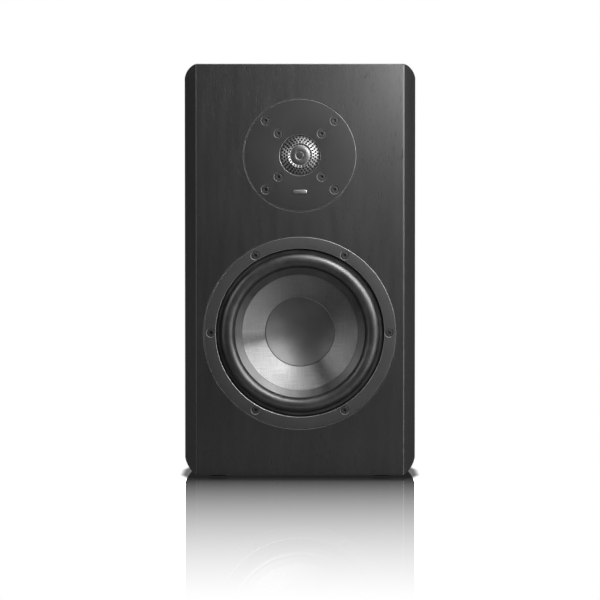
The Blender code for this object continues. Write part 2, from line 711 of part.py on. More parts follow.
def make_port(axis, looks):
    """A flared tube. Here y runs outwards from the rear panel's face."""
    across, along = PORT_INNER_FLARE
    throat = PORT_LIP - PORT_FLARE
    inner_throat = along - PORT_LENGTH
    reach = PORT_MOUTH_RADIUS - PORT_RADIUS
    inside = arc((PORT_MOUTH_RADIUS, throat), (reach, PORT_FLARE), 90, 180, 5)
    inside += arc((PORT_RADIUS + across, inner_throat), (across, along), 180, 270, 3)
    outer = PORT_RADIUS + PORT_WALL
    collar = PORT_MOUTH_RADIUS - 0.4
    bevel = 0.7
    outside = [
        (outer, inner_throat), (outer, throat), (collar, -3), (collar, GAP),
        (PORT_FLANGE_RADIUS, GAP), (PORT_FLANGE_RADIUS, PORT_LIP - bevel),
        (PORT_FLANGE_RADIUS - bevel, PORT_LIP),
    ]
    turned("port_tube", inside + outside, PORT_SEGMENTS, axis, looks["plastic"])


def terminal_screw_places():
    return [
        (x, TERMINAL_HEIGHT + z)
        for x in (-TERMINAL_SCREW_X, TERMINAL_SCREW_X)
        for z in (-TERMINAL_SCREW_Z, TERMINAL_SCREW_Z)
    ]


def make_terminals(face, looks):
    """The terminal plate, its screws and two binding posts. Here y runs outwards from the panel."""
    plate = prism(
        "terminal_plate", rounded_rectangle(TERMINAL_WIDTH, TERMINAL_TALL, 7, steps=4), GAP,
        GAP + TERMINAL_THICKNESS, "Y", face, looks["plastic"],
    )
    outer = GAP + TERMINAL_THICKNESS
    seat = outer - 1.2
    front, rear = -OVERCUT, outer + OVERCUT
    posts = [(-POST_SPACING / 2, 0), (POST_SPACING / 2, 0)]
    screws = [(x, z - TERMINAL_HEIGHT) for x, z in terminal_screw_places()]
    post = POST_SHANK_RADIUS + 0.4
    post_hole = [(0, front), (post, front), (post, rear), (0, rear)]
    cut(plate, turned_at("post_holes", post_hole, 12, posts, face))
    shank, head = TERMINAL_SHANK_RADIUS + 0.4, HEAD_RADIUS + 0.3
    hole = [(0, front), (shank, front), (shank, seat), (head, seat), (head, rear), (0, rear)]
    cut(plate, turned_at("terminal_counterbores", hole, 12, screws, face))
    for number, place in enumerate(screws, 1):
        make_terminal_screw(f"terminal_screw_{number}", place, seat + GAP, face, looks)
    for side, (x, _) in zip(("negative", "positive"), posts):
        colour = looks["red_plastic"] if side == "positive" else looks["plastic"]
        axis = empty(f"post_axis_{side}", (x, outer, 0), face)
        make_binding_post(side, axis, colour, looks)


def make_terminal_screw(name, place, low, face, looks):
    """A socket-head screw whose head faces outwards, with its underside at low."""
    high = low + TERMINAL_HEAD_HEIGHT
    shank = TERMINAL_SHANK_RADIUS
    profile = [
        (0, high), (HEAD_RADIUS, high), (HEAD_RADIUS, low), (shank, low), (shank, -12), (0, -14),
    ]
    where = (place[0], 0, place[1])
    screw = turned(name, profile, SCREW_SEGMENTS, face, looks["screw_black"], where)
    hexagon = circle_places(6, SOCKET_RADIUS)
    socket = prism(f"{name}_socket", hexagon, high - 1.3, high + OVERCUT, "Y", face, place=where)
    cut(screw, socket)


def make_binding_post(side, axis, colour, looks):
    """A stud, a clamp ring that can't turn and a fluted cap. The cap's thread draws the ring along."""
    shank, collar, socket_end = POST_SHANK_RADIUS, CLAMP_LOW - GAP, STUD_LENGTH - 10
    profile = [
        (0, POST_REAR), (shank, POST_REAR), (shank, GAP), (POST_RADIUS, GAP),
        (POST_RADIUS, collar), (STUD_RADIUS, collar), (STUD_RADIUS, STUD_LENGTH),
        (BANANA_RADIUS, STUD_LENGTH), (BANANA_RADIUS, socket_end), (0, socket_end),
    ]
    turned(f"binding_post_stud_{side}", profile, 12, axis, looks["gold"])
    low, high = CLAMP_LOW, CLAMP_HIGH
    ring = [(POST_BORE, low), (POST_RADIUS, low), (POST_RADIUS, high), (POST_BORE, high)]
    turned(f"binding_post_clamp_{side}", ring, 16, axis, colour)

    start = CLAMP_HIGH + GAP
    end = start + CAP_LENGTH
    bm = bmesh.new()
    outline = []
    for i, angle in enumerate(angles(2 * FLUTES)):
        radius = POST_RADIUS - FLUTE_DEPTH * (i % 2)
        outline.append((radius * math.cos(angle), radius * math.sin(angle)))
    extrude_into(bm, outline, start, end, "Y")
    cap = solid(f"binding_post_cap_{side}", bm, axis, looks["gold"])
    throat, mouth = end - 1.8, BANANA_RADIUS + 0.2
    bore = [
        (0, start - OVERCUT), (POST_BORE, start - OVERCUT), (POST_BORE, throat), (mouth, throat),
        (mouth, end + OVERCUT), (0, end + OVERCUT),
    ]
    cut(cap, turned(f"cap_bore_{side}", bore, 12, axis))


def make_crossover(origin, looks):
    """A filter board on the floor of the cabinet, with a coil and a capacitor, and the two leads."""
    low = INSIDE_LOW + 1
    corners = rounded_rectangle(BOARD_WIDTH, BOARD_LENGTH, 3, (0, BOARD_CENTRE_Y), 2)
    prism("crossover_board", corners, low, low + BOARD_SHEET, "Z", origin, looks["circuit_board"])
    floor = low + BOARD_SHEET + GAP
    coil = [(9, 0), (19, 0), (19, 16), (9, 16)]
    place = (INDUCTOR_X, BOARD_CENTRE_Y, floor)
    inductor = turned("crossover_inductor", coil, 20, origin, looks["copper"], place)
    inductor.rotation_euler = (math.radians(90), 0, 0)
    can = [(0, -17), (7.6, -17), (8, -16), (8, 16), (7.6, 17), (0, 17)]
    place = (CAPACITOR_X, BOARD_CENTRE_Y + 5, floor + 8)
    capacitor = turned("crossover_capacitor", can, 16, origin, looks["plastic"], place)
    capacitor.rotation_euler = (0, 0, math.radians(90))
    start = floor + 2.5
    to_woofer = [
        (-40, 170, start), (-40, 158, start + 8), (-39, 142, start + 30), (-40, 118, start + 38),
        (-44, 95, start + 46), (-47, 74, start + 56), (-45, 60, start + 63),
        (-38.7, 50, WOOFER_HEIGHT - 38.7),
    ]
    to_tweeter = [
        (40, 170, start), (40, 158, start + 10), (40, 142, start + 34), (44, 118, start + 54),
        (50, 109, start + 90), (52, 107, start + 140), (51, 100, start + 190),
        (46, 80, start + 225), (37, 50, start + 250), (30, 34, TWEETER_HEIGHT - 10),
        (30, 25.7, TWEETER_HEIGHT - 8),
    ]
    make_lead("woofer_lead", to_woofer, origin, looks)
    make_lead("tweeter_lead", to_tweeter, origin, looks)


def smooth_route(points, per_span):
    """Points on a smooth curve through a few given ones."""
    ends = [points[0]] + list(points) + [points[-1]]
    route = []
    for before, start, end, after in zip(ends, ends[1:], ends[2:], ends[3:]):
        for step in range(per_span):
            share = step / per_span
            corners = zip(before, start, end, after)
            route.append(tuple(between(*values, share) for values in corners))
    return route + [points[-1]]


def between(before, start, end, after, share):
    """A Catmull-Rom curve's value at a share of the way from start to end."""
    slope = end - before
    square = 2 * before - 5 * start + 4 * end - after
    cube = 3 * (start - end) + after - before
    return start + 0.5 * (slope * share + square * share ** 2 + cube * share ** 3)


def make_lead(name, points, parent, looks):
    route = smooth_route(points, 3)
    curve = bpy.data.curves.new(name, "CURVE")
    curve.dimensions = "3D"
    curve.bevel_depth = LEAD_RADIUS * MM
    curve.bevel_resolution = 1
    curve.use_fill_caps = True
    spline = curve.splines.new("POLY")
    spline.points.add(len(route) - 1)
    for point, place in zip(spline.points, route):
        point.co = (*[value * MM for value in place], 1)
    made = bpy.data.objects.new(name, curve)
    made.parent = parent
    curve.materials.append(looks["wire"])
    bpy.context.scene.collection.objects.link(made)


def main():
    clear_scene()
    looks = make_materials()
    origin = empty("baffle_plane", (0, FRONT_Y, 0))
    woofer_axis = empty("woofer_axis", (0, 0, WOOFER_HEIGHT), origin)
    tweeter_axis = empty("tweeter_axis", (0, 0, TWEETER_HEIGHT), origin)
    port_axis = empty("port_axis", (0, CABINET_DEPTH, PORT_HEIGHT), origin)
    terminal_face = empty("terminal_face", (0, CABINET_DEPTH, TERMINAL_HEIGHT), origin)
    make_cabinet(origin, looks)
    make_woofer(woofer_axis, looks)
    make_tweeter(tweeter_axis, looks)
    make_port(port_axis, looks)
    make_terminals(terminal_face, looks)
    make_crossover(origin, looks)


main()
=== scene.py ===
"""Looks of a two-way bookshelf loudspeaker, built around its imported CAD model.

Sizes here are in millimetres and become metres where a mesh is made. Heights, widths and depths come
from the CAD nodes' boxes. The speaker faces -Y. A turned piece's profile holds (radius, y) points, and
its y is the depth behind the point that the piece is placed at.
"""

import json
import math

import bmesh
import bpy
import numpy as np
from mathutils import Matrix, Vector


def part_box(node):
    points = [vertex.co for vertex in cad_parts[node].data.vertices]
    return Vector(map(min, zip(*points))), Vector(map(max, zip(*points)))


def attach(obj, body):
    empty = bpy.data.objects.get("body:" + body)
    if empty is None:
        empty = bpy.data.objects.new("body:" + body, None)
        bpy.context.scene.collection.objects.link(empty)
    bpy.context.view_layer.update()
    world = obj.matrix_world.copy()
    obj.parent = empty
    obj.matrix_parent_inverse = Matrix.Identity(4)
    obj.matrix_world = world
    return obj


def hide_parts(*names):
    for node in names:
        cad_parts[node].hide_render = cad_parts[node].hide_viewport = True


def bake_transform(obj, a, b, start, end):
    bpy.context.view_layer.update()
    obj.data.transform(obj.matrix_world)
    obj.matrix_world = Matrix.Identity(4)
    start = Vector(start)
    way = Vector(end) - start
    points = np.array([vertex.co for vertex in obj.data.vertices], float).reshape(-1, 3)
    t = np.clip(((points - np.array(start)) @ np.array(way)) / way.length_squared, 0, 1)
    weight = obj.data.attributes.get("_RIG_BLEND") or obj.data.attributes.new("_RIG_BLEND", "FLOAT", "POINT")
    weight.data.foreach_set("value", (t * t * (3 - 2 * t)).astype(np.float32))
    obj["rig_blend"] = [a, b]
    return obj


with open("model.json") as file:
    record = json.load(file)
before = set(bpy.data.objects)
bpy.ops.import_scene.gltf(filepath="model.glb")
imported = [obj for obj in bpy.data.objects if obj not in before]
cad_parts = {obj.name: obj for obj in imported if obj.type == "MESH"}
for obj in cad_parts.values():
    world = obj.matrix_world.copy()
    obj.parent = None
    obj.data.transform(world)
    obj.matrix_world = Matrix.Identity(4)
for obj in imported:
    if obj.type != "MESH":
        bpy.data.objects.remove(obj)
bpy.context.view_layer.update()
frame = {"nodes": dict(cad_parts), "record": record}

MM = 0.001
ROUND = 160  # segments of a large turned piece
SMALL_ROUND = 40  # and of a screw or its hole


def box(node):
    """A CAD node's lowest and highest corners, in millimetres."""
    low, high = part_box(node)
    return low / MM, high / MM


def radius_of(node):
    low, high = box(node)
    return (high.x - low.x) / 2


def axis_point(node, y):
    """The point of a turned node's axis at depth y."""
    low, high = box(node)
    return Vector(((low.x + high.x) / 2, y, (low.z + high.z) / 2))


# Driving dimensions

FRONT = box("front_baffle")[0].y
REAR = box("rear_panel")[1].y
LOW = box("front_baffle")[0].z
HIGH = box("front_baffle")[1].z
DEPTH = REAR - FRONT
BAFFLE_BACK = (box("front_baffle")[1].y + box("top_panel")[0].y) / 2 - FRONT
REAR_FRONT = (box("top_panel")[1].y + box("rear_panel")[0].y) / 2 - FRONT
SIDE_LOW = (box("bottom_panel")[1].z + box("side_panel_left")[0].z) / 2
SIDE_HIGH = (box("side_panel_left")[1].z + box("top_panel")[0].z) / 2
SHOULDER_DEPTH = 80.0  # where the cabinet is widest, behind the baffle's face
SHOULDER = box("top_panel")[1].x
BAFFLE_BACK_WIDTH = box("front_baffle")[1].x
BAFFLE_THICKNESS = box("front_baffle")[1].y - FRONT
FRONT_SLOPE = (SHOULDER - BAFFLE_BACK_WIDTH) / (SHOULDER_DEPTH - BAFFLE_THICKNESS)
REAR_SLOPE = (SHOULDER - box("rear_panel")[1].x) / (box("rear_panel")[0].y - FRONT - SHOULDER_DEPTH)
SHOULDER_BLEND = 3.0  # how far from the shoulder its softening reaches
BOARD = 18.0  # thickness
EDGE_RADIUS = 12.4  # of the long corners from the baffle to the rear
RIM = 1.0  # rounding of the cabinet's remaining edges

WOOFER = axis_point("woofer_frame", FRONT)
TWEETER = axis_point("tweeter_faceplate", FRONT)
PORT = axis_point("port_tube", REAR)
TERMINALS = axis_point("terminal_plate", REAR)

FLANGE_RADIUS = radius_of("woofer_frame")
FACEPLATE_RADIUS = radius_of("tweeter_faceplate")
REBATE_GAP = 0.45  # round a driver's flange
REBATE_CHAMFER = 0.35
WOOFER_SCREW_CIRCLE = box("woofer_screw_1")[1].x - radius_of("woofer_screw_1")
CONE_EDGE = radius_of("woofer_cone")
CONE_EDGE_DEPTH = 6.4
CONE_SLOPE = 0.62
CONE_NECK = 16.6
CAP_RADIUS = radius_of("woofer_dust_cap")
SEAT = 5.7  # depth of the ledge that holds the surround's foot
FLANGE_BORE = 77.4
FACEPLATE_BORE = 18.6
ROLL_RADIUS = 66.9
ROLL_HALF = 6.7
ROLL_FOOT = 4.5
RUBBER = 0.9  # thickness
LIP_INNER = 53.4
GAP = 0.3  # between bonded pieces


# Mesh helpers

def turn_into(bm, profile, segments, centre=(0, 0), flutes=0):
    """Adds a body turned about the Y axis through centre, an (x, z) point.

    Its profile is a closed loop, unless it starts and ends on the axis. A profile point's third value is
    the depth of the flutes there.
    """
    on_axis = profile[0][0] == 0 and profile[-1][0] == 0
    rings = []
    for radius, y, *flute in profile:
        ring = []
        for i in range(segments if radius else 1):
            angle = math.tau * i / segments
            wave = (1 - math.cos(flutes * angle)) / 2
            reach = radius - (flute[0] * wave if flute else 0)
            x, z = centre[0] + reach * math.cos(angle), centre[1] + reach * math.sin(angle)
            ring.append(bm.verts.new((x, y, z)))
        rings.append(ring)
    pairs = list(zip(rings, rings[1:]))
    if not on_axis:
        pairs.append((rings[-1], rings[0]))
    for first, second in pairs:
        join_rings(bm, first, second)


def drill_into(bm, radius, start, end, segments, centre=(0, 0)):
    """Adds a straight cylinder along Y, from one depth to another."""
    turn_into(bm, [(0, start), (radius, start), (radius, end), (0, end)], segments, centre)


def join_rings(bm, first, second):
    """Faces between two rings of the same length, or between a ring and a single point."""
    count = max(len(first), len(second))
    for i in range(count):
        corners = [
            first[i % len(first)], first[(i + 1) % count % len(first)],
            second[(i + 1) % count % len(second)], second[i % len(second)],
        ]
        bm.faces.new(list(dict.fromkeys(corners)))


def loft_into(bm, rings):
    """Adds a solid through rings of points, with a face on each end."""
    made = [[bm.verts.new(point) for point in ring] for ring in rings]
    for first, second in zip(made, made[1:]):
        join_rings(bm, first, second)
    bm.faces.new(made[0])
    bm.faces.new(made[-1])


def arc(centre, radius, start, end, steps, depth=None):
    """Points on an arc, with angles in degrees. Where depth is given, it is the radius along Y."""
    points = []
    for i in range(steps + 1):
        angle = math.radians(start + (end - start) * i / steps)
        rise = (depth or radius) * math.sin(angle)
        points.append((centre[0] + radius * math.cos(angle), centre[1] + rise))
    return points


def skin(front, thickness):
    """A profile of even thickness behind the points of its front."""
    return front + [(r, y + thickness) for r, y in reversed(front)]


def rounded(points, steps=5):
    """A closed profile whose corners are rounded where a point has a third value, the fillet's radius."""
    path = []
    for i, (x, y, *fillet) in enumerate(points):
        corner = Vector((x, y))
        if not fillet:
            path.append((x, y))
            continue
        before = (Vector(points[i - 1][:2]) - corner).normalized()
        after = (Vector(points[(i + 1) % len(points)][:2]) - corner).normalized()
        half = before.angle(after) / 2
        centre = corner + (before + after).normalized() * (fillet[0] / math.sin(half))
        reach = fillet[0] / math.tan(half)
        start, end = corner + before * reach - centre, corner + after * reach - centre
        first = math.atan2(start.y, start.x)
        sweep = (math.atan2(end.y, end.x) - first + math.pi) % math.tau - math.pi
        angles = [math.degrees(first), math.degrees(first + sweep)]
        path += arc(centre, fillet[0], *angles, steps)
    return path


def rounded_rectangle(width, height, radius, middle=(0, 0), steps=8):
    points = []
    for turn, (side, level) in enumerate([(1, 1), (-1, 1), (-1, -1), (1, -1)]):
        corner = (
            middle[0] + side * (width / 2 - radius),
            middle[1] + level * (height / 2 - radius),
        )
        points += arc(corner, radius, 90 * turn, 90 * turn + 90, steps)
    return points


def slab_into(bm, width, height, radius, profile, middle=(0, 0)):
    """Adds a rounded rectangle's slab. The profile holds (inset, y) points from one face to the other."""
    rings = []
    for inset, y in profile:
        outline = rounded_rectangle(
            width - 2 * inset, height - 2 * inset, max(radius - inset, 0.05), middle
        )
        rings.append([(x, y, z) for x, z in outline])
    loft_into(bm, rings)


def circle_places(count, radius, first_degrees=0.0):
    angles = [math.radians(first_degrees + 360 * i / count) for i in range(count)]
    return [(radius * math.cos(a), radius * math.sin(a)) for a in angles]


def mesh_of(name, bm):
    """Turns a bmesh in millimetres into a mesh in metres."""
    bmesh.ops.scale(bm, vec=(MM, MM, MM), verts=bm.verts)
    bmesh.ops.recalc_face_normals(bm, faces=bm.faces)
    mesh = bpy.data.meshes.new(name)
    bm.to_mesh(mesh)
    bm.free()
    return mesh


def build(name, fill, *cutters):
    """A mesh made by fill, a function that adds to a bmesh, less what each of the cutters adds."""
    bm = bmesh.new()
    fill(bm)
    mesh = mesh_of(name, bm)
    for cutter in cutters:
        mesh = carved(mesh, cutter)
    return mesh


def carved(mesh, cutter):
    bm = bmesh.new()
    cutter(bm)
    tool = bpy.data.objects.new("tool", mesh_of("tool", bm))
    block = bpy.data.objects.new("block", mesh)
    for made in (tool, block):
        bpy.context.scene.collection.objects.link(made)
    modifier = block.modifiers.new("cut", "BOOLEAN")
    modifier.operation = "DIFFERENCE"
    modifier.solver = "EXACT"
    modifier.object = tool
    bpy.context.view_layer.update()
    graph = bpy.context.evaluated_depsgraph_get()
    result = bpy.data.meshes.new_from_object(block.evaluated_get(graph))
    result.name = mesh.name
    for made in (tool, block):
        bpy.data.objects.remove(made)
    return result


def piece(name, mesh, look, body, node, place=(0, 0, 0), sharp=30):
    """Places a mesh as a piece that rides on a body and stands for a CAD node."""
    mesh.materials.clear()
    mesh.materials.append(looks[look])
    mesh.shade_smooth()
    mesh.set_sharp_from_angle(angle=math.radians(sharp))
    made = bpy.data.objects.new(name, mesh)
    made.location = Vector(place) * MM
    bpy.context.scene.collection.objects.link(made)
    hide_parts(node)
    if body:
        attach(made, body)
    return made


def turned(name, profile, look, body, node, place, segments=ROUND, sharp=30, cutters=()):
    mesh = build(name, lambda bm: turn_into(bm, profile, segments), *cutters)
    return piece(name, mesh, look, body, node, place, sharp)


# Materials

class Nodes:
    """A node tree, with a short way to add each kind of node that the looks need."""

    def __init__(self, tree):
        self.tree = tree

    def add(self, kind, inputs, output=0, **settings):
        made = self.tree.nodes.new("ShaderNode" + kind)
        for name, value in settings.items():
            setattr(made, name, value)
        for key, value in inputs.items():
            if isinstance(value, bpy.types.NodeSocket):
                self.tree.links.new(value, made.inputs[key])
            else:
                made.inputs[key].default_value = value
        return made.outputs[output]

    def math(self, operation, first, second=0.0, third=0.0):
        return self.add("Math", {0: first, 1: second, 2: third}, operation=operation)

    def place(self):
        """The point on the piece, in millimetres from its origin."""
        return self.scaled(self.add("TexCoord", {}, "Object"), 1 / MM)

    def scaled(self, vector, factor):
        return self.add("VectorMath", {0: vector, "Scale": factor}, operation="SCALE")

    def stretch(self, vector, factors):
        return self.add("VectorMath", {0: vector, 1: factors}, operation="MULTIPLY")

    def split(self, vector, axes="XYZ"):
        """The vector's parts along the axes, one for each letter."""
        return [self.add("SeparateXYZ", {0: vector}, axis) for axis in axes]

    def from_axis(self, vector):
        """How far the vector's tip is from the Y axis."""
        return self.add("VectorMath", {0: self.stretch(vector, (1, 0, 1))}, 1, operation="LENGTH")

    def apart(self, first, second):
        """The distance between two numbers."""
        return self.math("ABSOLUTE", self.math("SUBTRACT", first, second))

    def noise(self, vector, scale, detail=2.0, roughness=0.5):
        inputs = {"Vector": vector, "Scale": scale, "Detail": detail, "Roughness": roughness}
        return self.add("TexNoise", inputs, "Fac")

    def between(self, value, low, high, start=0.0, end=1.0):
        """value's place between low and high, clamped, as a number from start to end."""
        inputs = {"Value": value, 1: low, 2: high, 3: start, 4: end}
        return self.add("MapRange", inputs)

    def spread(self, noise, start=0.0, end=1.0):
        """A noise's usual values, clamped, as a number from start to end."""
        return self.between(noise, 0.3, 0.7, start, end)

    def blend(self, share, first, second):
        """A mix of two colours, each a socket or an (r, g, b)."""
        ends = [c if isinstance(c, bpy.types.NodeSocket) else (*c, 1.0) for c in (first, second)]
        return self.add("Mix", {0: share, 6: ends[0], 7: ends[1]}, 2, data_type="RGBA")

    def pick(self, share, first, second):
        """A mix of two numbers."""
        return self.add("Mix", {0: share, 2: first, 3: second}, 0, data_type="FLOAT")

    def bump(self, height, depth, strength=1.0):
        """A normal for a surface raised by height, which is 0 to 1, times depth in millimetres."""
        return self.add("Bump", {"Height": height, "Distance": depth * MM, "Strength": strength})


def grey(level, blue=0.0):
    """A grey, with a little more blue than red and green if blue is given."""
    return (level, level, level + blue)


def material(name, fill, **uniform):
    """A Principled material. uniform holds the inputs that are the same all over, by name with _ for a
    space. fill adds the nodes, given the point on the piece, and returns the inputs that vary."""
    made = bpy.data.materials.new(name)
    made.use_nodes = True
    nodes = Nodes(made.node_tree)
    shader = made.node_tree.nodes["Principled BSDF"]
    for key, value in uniform.items():
        shader.inputs[key.replace("_", " ").title().replace("Ior", "IOR")].default_value = value
    for key, socket in fill(nodes, nodes.place()).items():
        made.node_tree.links.new(socket, shader.inputs[key])
    return made


ALONG_GRAIN = 0.12  # the grain's scale along its length, as a share of its scale across
# A painted highlight for the cabinet's rounded edges: a grey far paler than the stain.
ARRIS_PAINTED_HIGHLIGHT = grey(0.13, 0.001)
OPEN_PORE = grey(0.005)
PORES_CLIMB = (150.0, 380.0)  # height plus x, from where the pores are few to where they are many


def veneer_nodes(nodes, point):
    """Black-stained oak. Its pores and streaks run up the cabinet, and across its duller top and base."""
    upright = nodes.stretch(point, (1.0, 1.0, ALONG_GRAIN))
    across = nodes.stretch(point, (ALONG_GRAIN, 1.0, 1.0))
    normal = nodes.add("VectorMath", {0: nodes.add("TexCoord", {}, "Normal")}, operation="ABSOLUTE")
    side, face, level = nodes.split(normal)
    flat = nodes.between(level, 0.6, 0.8)
    arris = nodes.math("MINIMUM", nodes.math("MAXIMUM", side, level), face)
    arris = nodes.between(arris, 0.25, 0.5)
    grain = nodes.add("Mix", {0: flat, 4: upright, 5: across}, 1, data_type="VECTOR")
    figure = nodes.noise(grain, 0.16, 3.0)
    fibres = nodes.noise(grain, 1.9, 2.0)
    pores = veneer_pores(nodes, point, grain)
    stain = nodes.blend(nodes.spread(figure), grey(0.0175, 0.0005), grey(0.024, 0.0005))
    stain = nodes.blend(nodes.between(fibres, 0.35, 0.75, 0.0, 0.5), stain, grey(0.031, 0.0005))
    # The arrises get the painted highlight over the stain and the pores.
    colour = nodes.blend(arris, nodes.blend(pores, stain, OPEN_PORE), ARRIS_PAINTED_HIGHLIGHT)
    relief = nodes.math("SUBTRACT", nodes.math("MULTIPLY", fibres, 0.25), pores)
    rough = nodes.spread(figure, 0.40, 0.45)
    for share, more in ((pores, 0.25), (arris, -0.2), (flat, 0.2)):
        rough = nodes.math("MULTIPLY_ADD", share, more, rough)
    return {"Base Color": colour, "Roughness": rough, "Normal": nodes.bump(relief, 0.05, 0.7)}


def veneer_pores(nodes, point, grain):
    """1 in the veneer's open pores, 0 between them. They crowd in patches and towards the upper right."""
    patches = nodes.noise(point, 0.022, 1.0)
    threshold = nodes.between(patches, 0.35, 0.65, 0.64, 0.575)
    climb = nodes.math("ADD", *nodes.split(point, "ZX"))
    threshold = nodes.math("ADD", threshold, nodes.between(climb, *PORES_CLIMB, 0.035, -0.01))
    specks = nodes.noise(grain, 1.25, 2.0, 0.65)
    return nodes.between(nodes.math("SUBTRACT", specks, threshold), 0.0, 0.07)


# A painted highlight for the plates' front chamfers, bright and metallic.
EDGE_PAINTED_HIGHLIGHT = grey(0.55)
HOLE_EDGE_SHARE = 0.3  # how bright the holes' chamfers are against the rims'
RIM_REACH = (0.9, 0.7)  # from where the rim's brightness starts to where it is full
EDGE_DEPTH = (1.2, 0.9)  # depths behind the plate's face, from where it starts to where it is full


def edge_share(nodes, point, rims):
    """1 on a plate's front chamfers at the rims' radii, less on those of its holes, and 0 elsewhere."""
    facing = nodes.math("ABSOLUTE", nodes.split(nodes.add("TexCoord", {}, "Normal"), "Y")[0])
    chamfer = nodes.math("MULTIPLY", nodes.between(facing, 0.25, 0.4), nodes.between(facing, 0.96, 0.88))
    front = nodes.between(nodes.split(point, "Y")[0], *EDGE_DEPTH)
    radius = nodes.from_axis(point)
    near = HOLE_EDGE_SHARE
    for rim in rims:
        near = nodes.math("MAXIMUM", near, nodes.between(nodes.apart(radius, rim), *RIM_REACH))
    return nodes.math("MULTIPLY", nodes.math("MULTIPLY", chamfer, front), near)


def paint_nodes(colour, roughness, grit=0.02, rims=()):
    """Fine matte paint over metal. The chamfers at the rims' radii carry a painted highlight."""
    def fill(nodes, point):
        cloud = nodes.noise(point, 0.06, 3.0)
        grains = nodes.noise(point, 5.0, 2.0, 0.7)
        shade = nodes.spread(cloud, 0.9, 1.1)
        tint = nodes.scaled(colour, shade)
        rough = nodes.spread(grains, roughness - 0.04, roughness + 0.05)
        inputs = {"Base Color": tint, "Roughness": rough, "Normal": nodes.bump(grains, grit)}
        if rims:
            # Painted highlight on the chamfers: a bright metallic grey, and less rough.
            bright = edge_share(nodes, point, rims)
            inputs["Base Color"] = nodes.blend(bright, tint, EDGE_PAINTED_HIGHLIGHT)
            inputs["Roughness"] = nodes.math("MULTIPLY_ADD", bright, -0.25, rough)
            inputs["Metallic"] = nodes.math("MULTIPLY", bright, 0.9)
        return inputs
    return fill


LANDING_SHADE_RADII = (75.2, 76.4)  # distances from the woofer's axis where the roll ends and its flat landing starts


def rubber_nodes(colour, roughness):
    """Moulded rubber with a faint bloom. From the surround's landing outwards it carries a painted shade,
    that of the recess under the flange, so all of a foot is dark too."""
    def fill(nodes, point):
        bloom = nodes.noise(point, 0.09, 4.0, 0.6)
        grains = nodes.noise(point, 3.0, 3.0)
        paler = tuple(1.3 * c for c in colour)
        tint = nodes.blend(nodes.between(bloom, 0.35, 0.7), colour, paler)
        outwards = nodes.add("VectorMath", {0: point, 1: WOOFER}, operation="SUBTRACT")
        landing = nodes.between(nodes.from_axis(outwards), *LANDING_SHADE_RADII)
        # Painted shade: dark grey from the landing outwards, where the recess under the flange is in shadow.
        tint = nodes.blend(landing, tint, grey(0.03))
        rough = nodes.spread(bloom, roughness - 0.03, roughness + 0.06)
        return {"Base Color": tint, "Roughness": rough, "Normal": nodes.bump(grains, 0.003)}
    return fill


def weave(nodes, point, pitch):
    """A plain weave in the XZ plane: (height, share of it that is an upright thread)."""
    waves = []
    for value in nodes.split(point, "XZ"):
        waves.append(nodes.math("SINE", nodes.math("MULTIPLY", value, math.pi / pitch)))
    crossing = nodes.math("MULTIPLY", waves[0], waves[1])
    upright = nodes.between(crossing, -0.12, 0.12)
    rounds = [nodes.math("ABSOLUTE", wave) for wave in waves]
    return nodes.pick(upright, rounds[1], rounds[0]), upright


# Fans of the cone with painted light and shade in place of its sheen: darker where it faces away from the
# lights or the weave's sheen fades, paler where it catches the light. Each has its middle and half its width
# in degrees from the right, the share that it takes, and its grey.
CONE_PAINTED_LIGHT_FANS = [
    (45, 34, 0.5, 0.10),
    (135, 40, 0.6, 0.42),
    (-171, 10, 0.75, 0.07),
    (-60, 13, 0.75, 0.07),
]
FAN_CORE = 0.2  # the share of a fan's half width that it fills before it fades
LONG_THREAD = 0.03  # scale of the threads' shades along them, as a share of that across
CONE_PITCH = 1.15


def cone_nodes(nodes, point):
    """Woven glass fibre under clear resin. Its threads run upright and across."""
    height, upright = weave(nodes, point, CONE_PITCH)
    rows = nodes.noise(nodes.stretch(point, (LONG_THREAD, LONG_THREAD, 1.0)), 2.2, 1.0)
    columns = nodes.noise(nodes.stretch(point, (1.0, LONG_THREAD, LONG_THREAD)), 2.2, 1.0)
    threads = nodes.pick(upright, rows, columns)
    cloud = nodes.noise(point, 0.035, 2.0)
    tint = nodes.blend(nodes.spread(threads), grey(0.21), grey(0.30, 0.005))
    tint = nodes.blend(nodes.between(cloud, 0.4, 0.7, 0.0, 0.3), tint, grey(0.14))
    # Painted light and shade in fans round the cone.
    tint = paint_light_fans(nodes, point, tint)
    # Painted shade: darker in the grooves between the threads.
    tint = nodes.scaled(tint, nodes.between(height, 0.0, 0.5, 0.6, 1.0))
    rough = nodes.spread(threads, 0.44, 0.36)
    return {"Base Color": tint, "Roughness": rough, "Normal": nodes.bump(height, 0.10, 0.6)}


def paint_light_fans(nodes, point, tint):
    """The tint with fans of painted light and shade laid over it, with soft edges and a faint ripple."""
    x, z = nodes.split(point, "XZ")
    turn = nodes.math("ARCTAN2", z, x)
    ripple = nodes.between(nodes.noise(point, 0.55, 1.0), 0.35, 0.6, 0.8, 1.0)
    for middle, half, share, level in CONE_PAINTED_LIGHT_FANS:
        away = nodes.apart(turn, math.radians(middle))
        fan = nodes.between(away, math.radians(half), FAN_CORE * math.radians(half), 0.0, share)
        tint = nodes.blend(nodes.math("MULTIPLY", fan, ripple), tint, grey(level))
    return tint


def cap_nodes(nodes, point):
    """Satin moulded skin, slightly cloudy and fine-grained."""
    cloud = nodes.noise(point, 0.05, 3.0)
    grains = nodes.noise(point, 4.0, 2.0)
    tint = nodes.blend(nodes.spread(cloud), grey(0.10, 0.001), grey(0.125, 0.001))
    rough = nodes.spread(grains, 0.38, 0.44)
    return {"Base Color": tint, "Roughness": rough, "Normal": nodes.bump(grains, 0.008)}


SMOOTH_RING = (9.2, 8.6)  # radii from where the grille's smooth ring starts to where it is whole


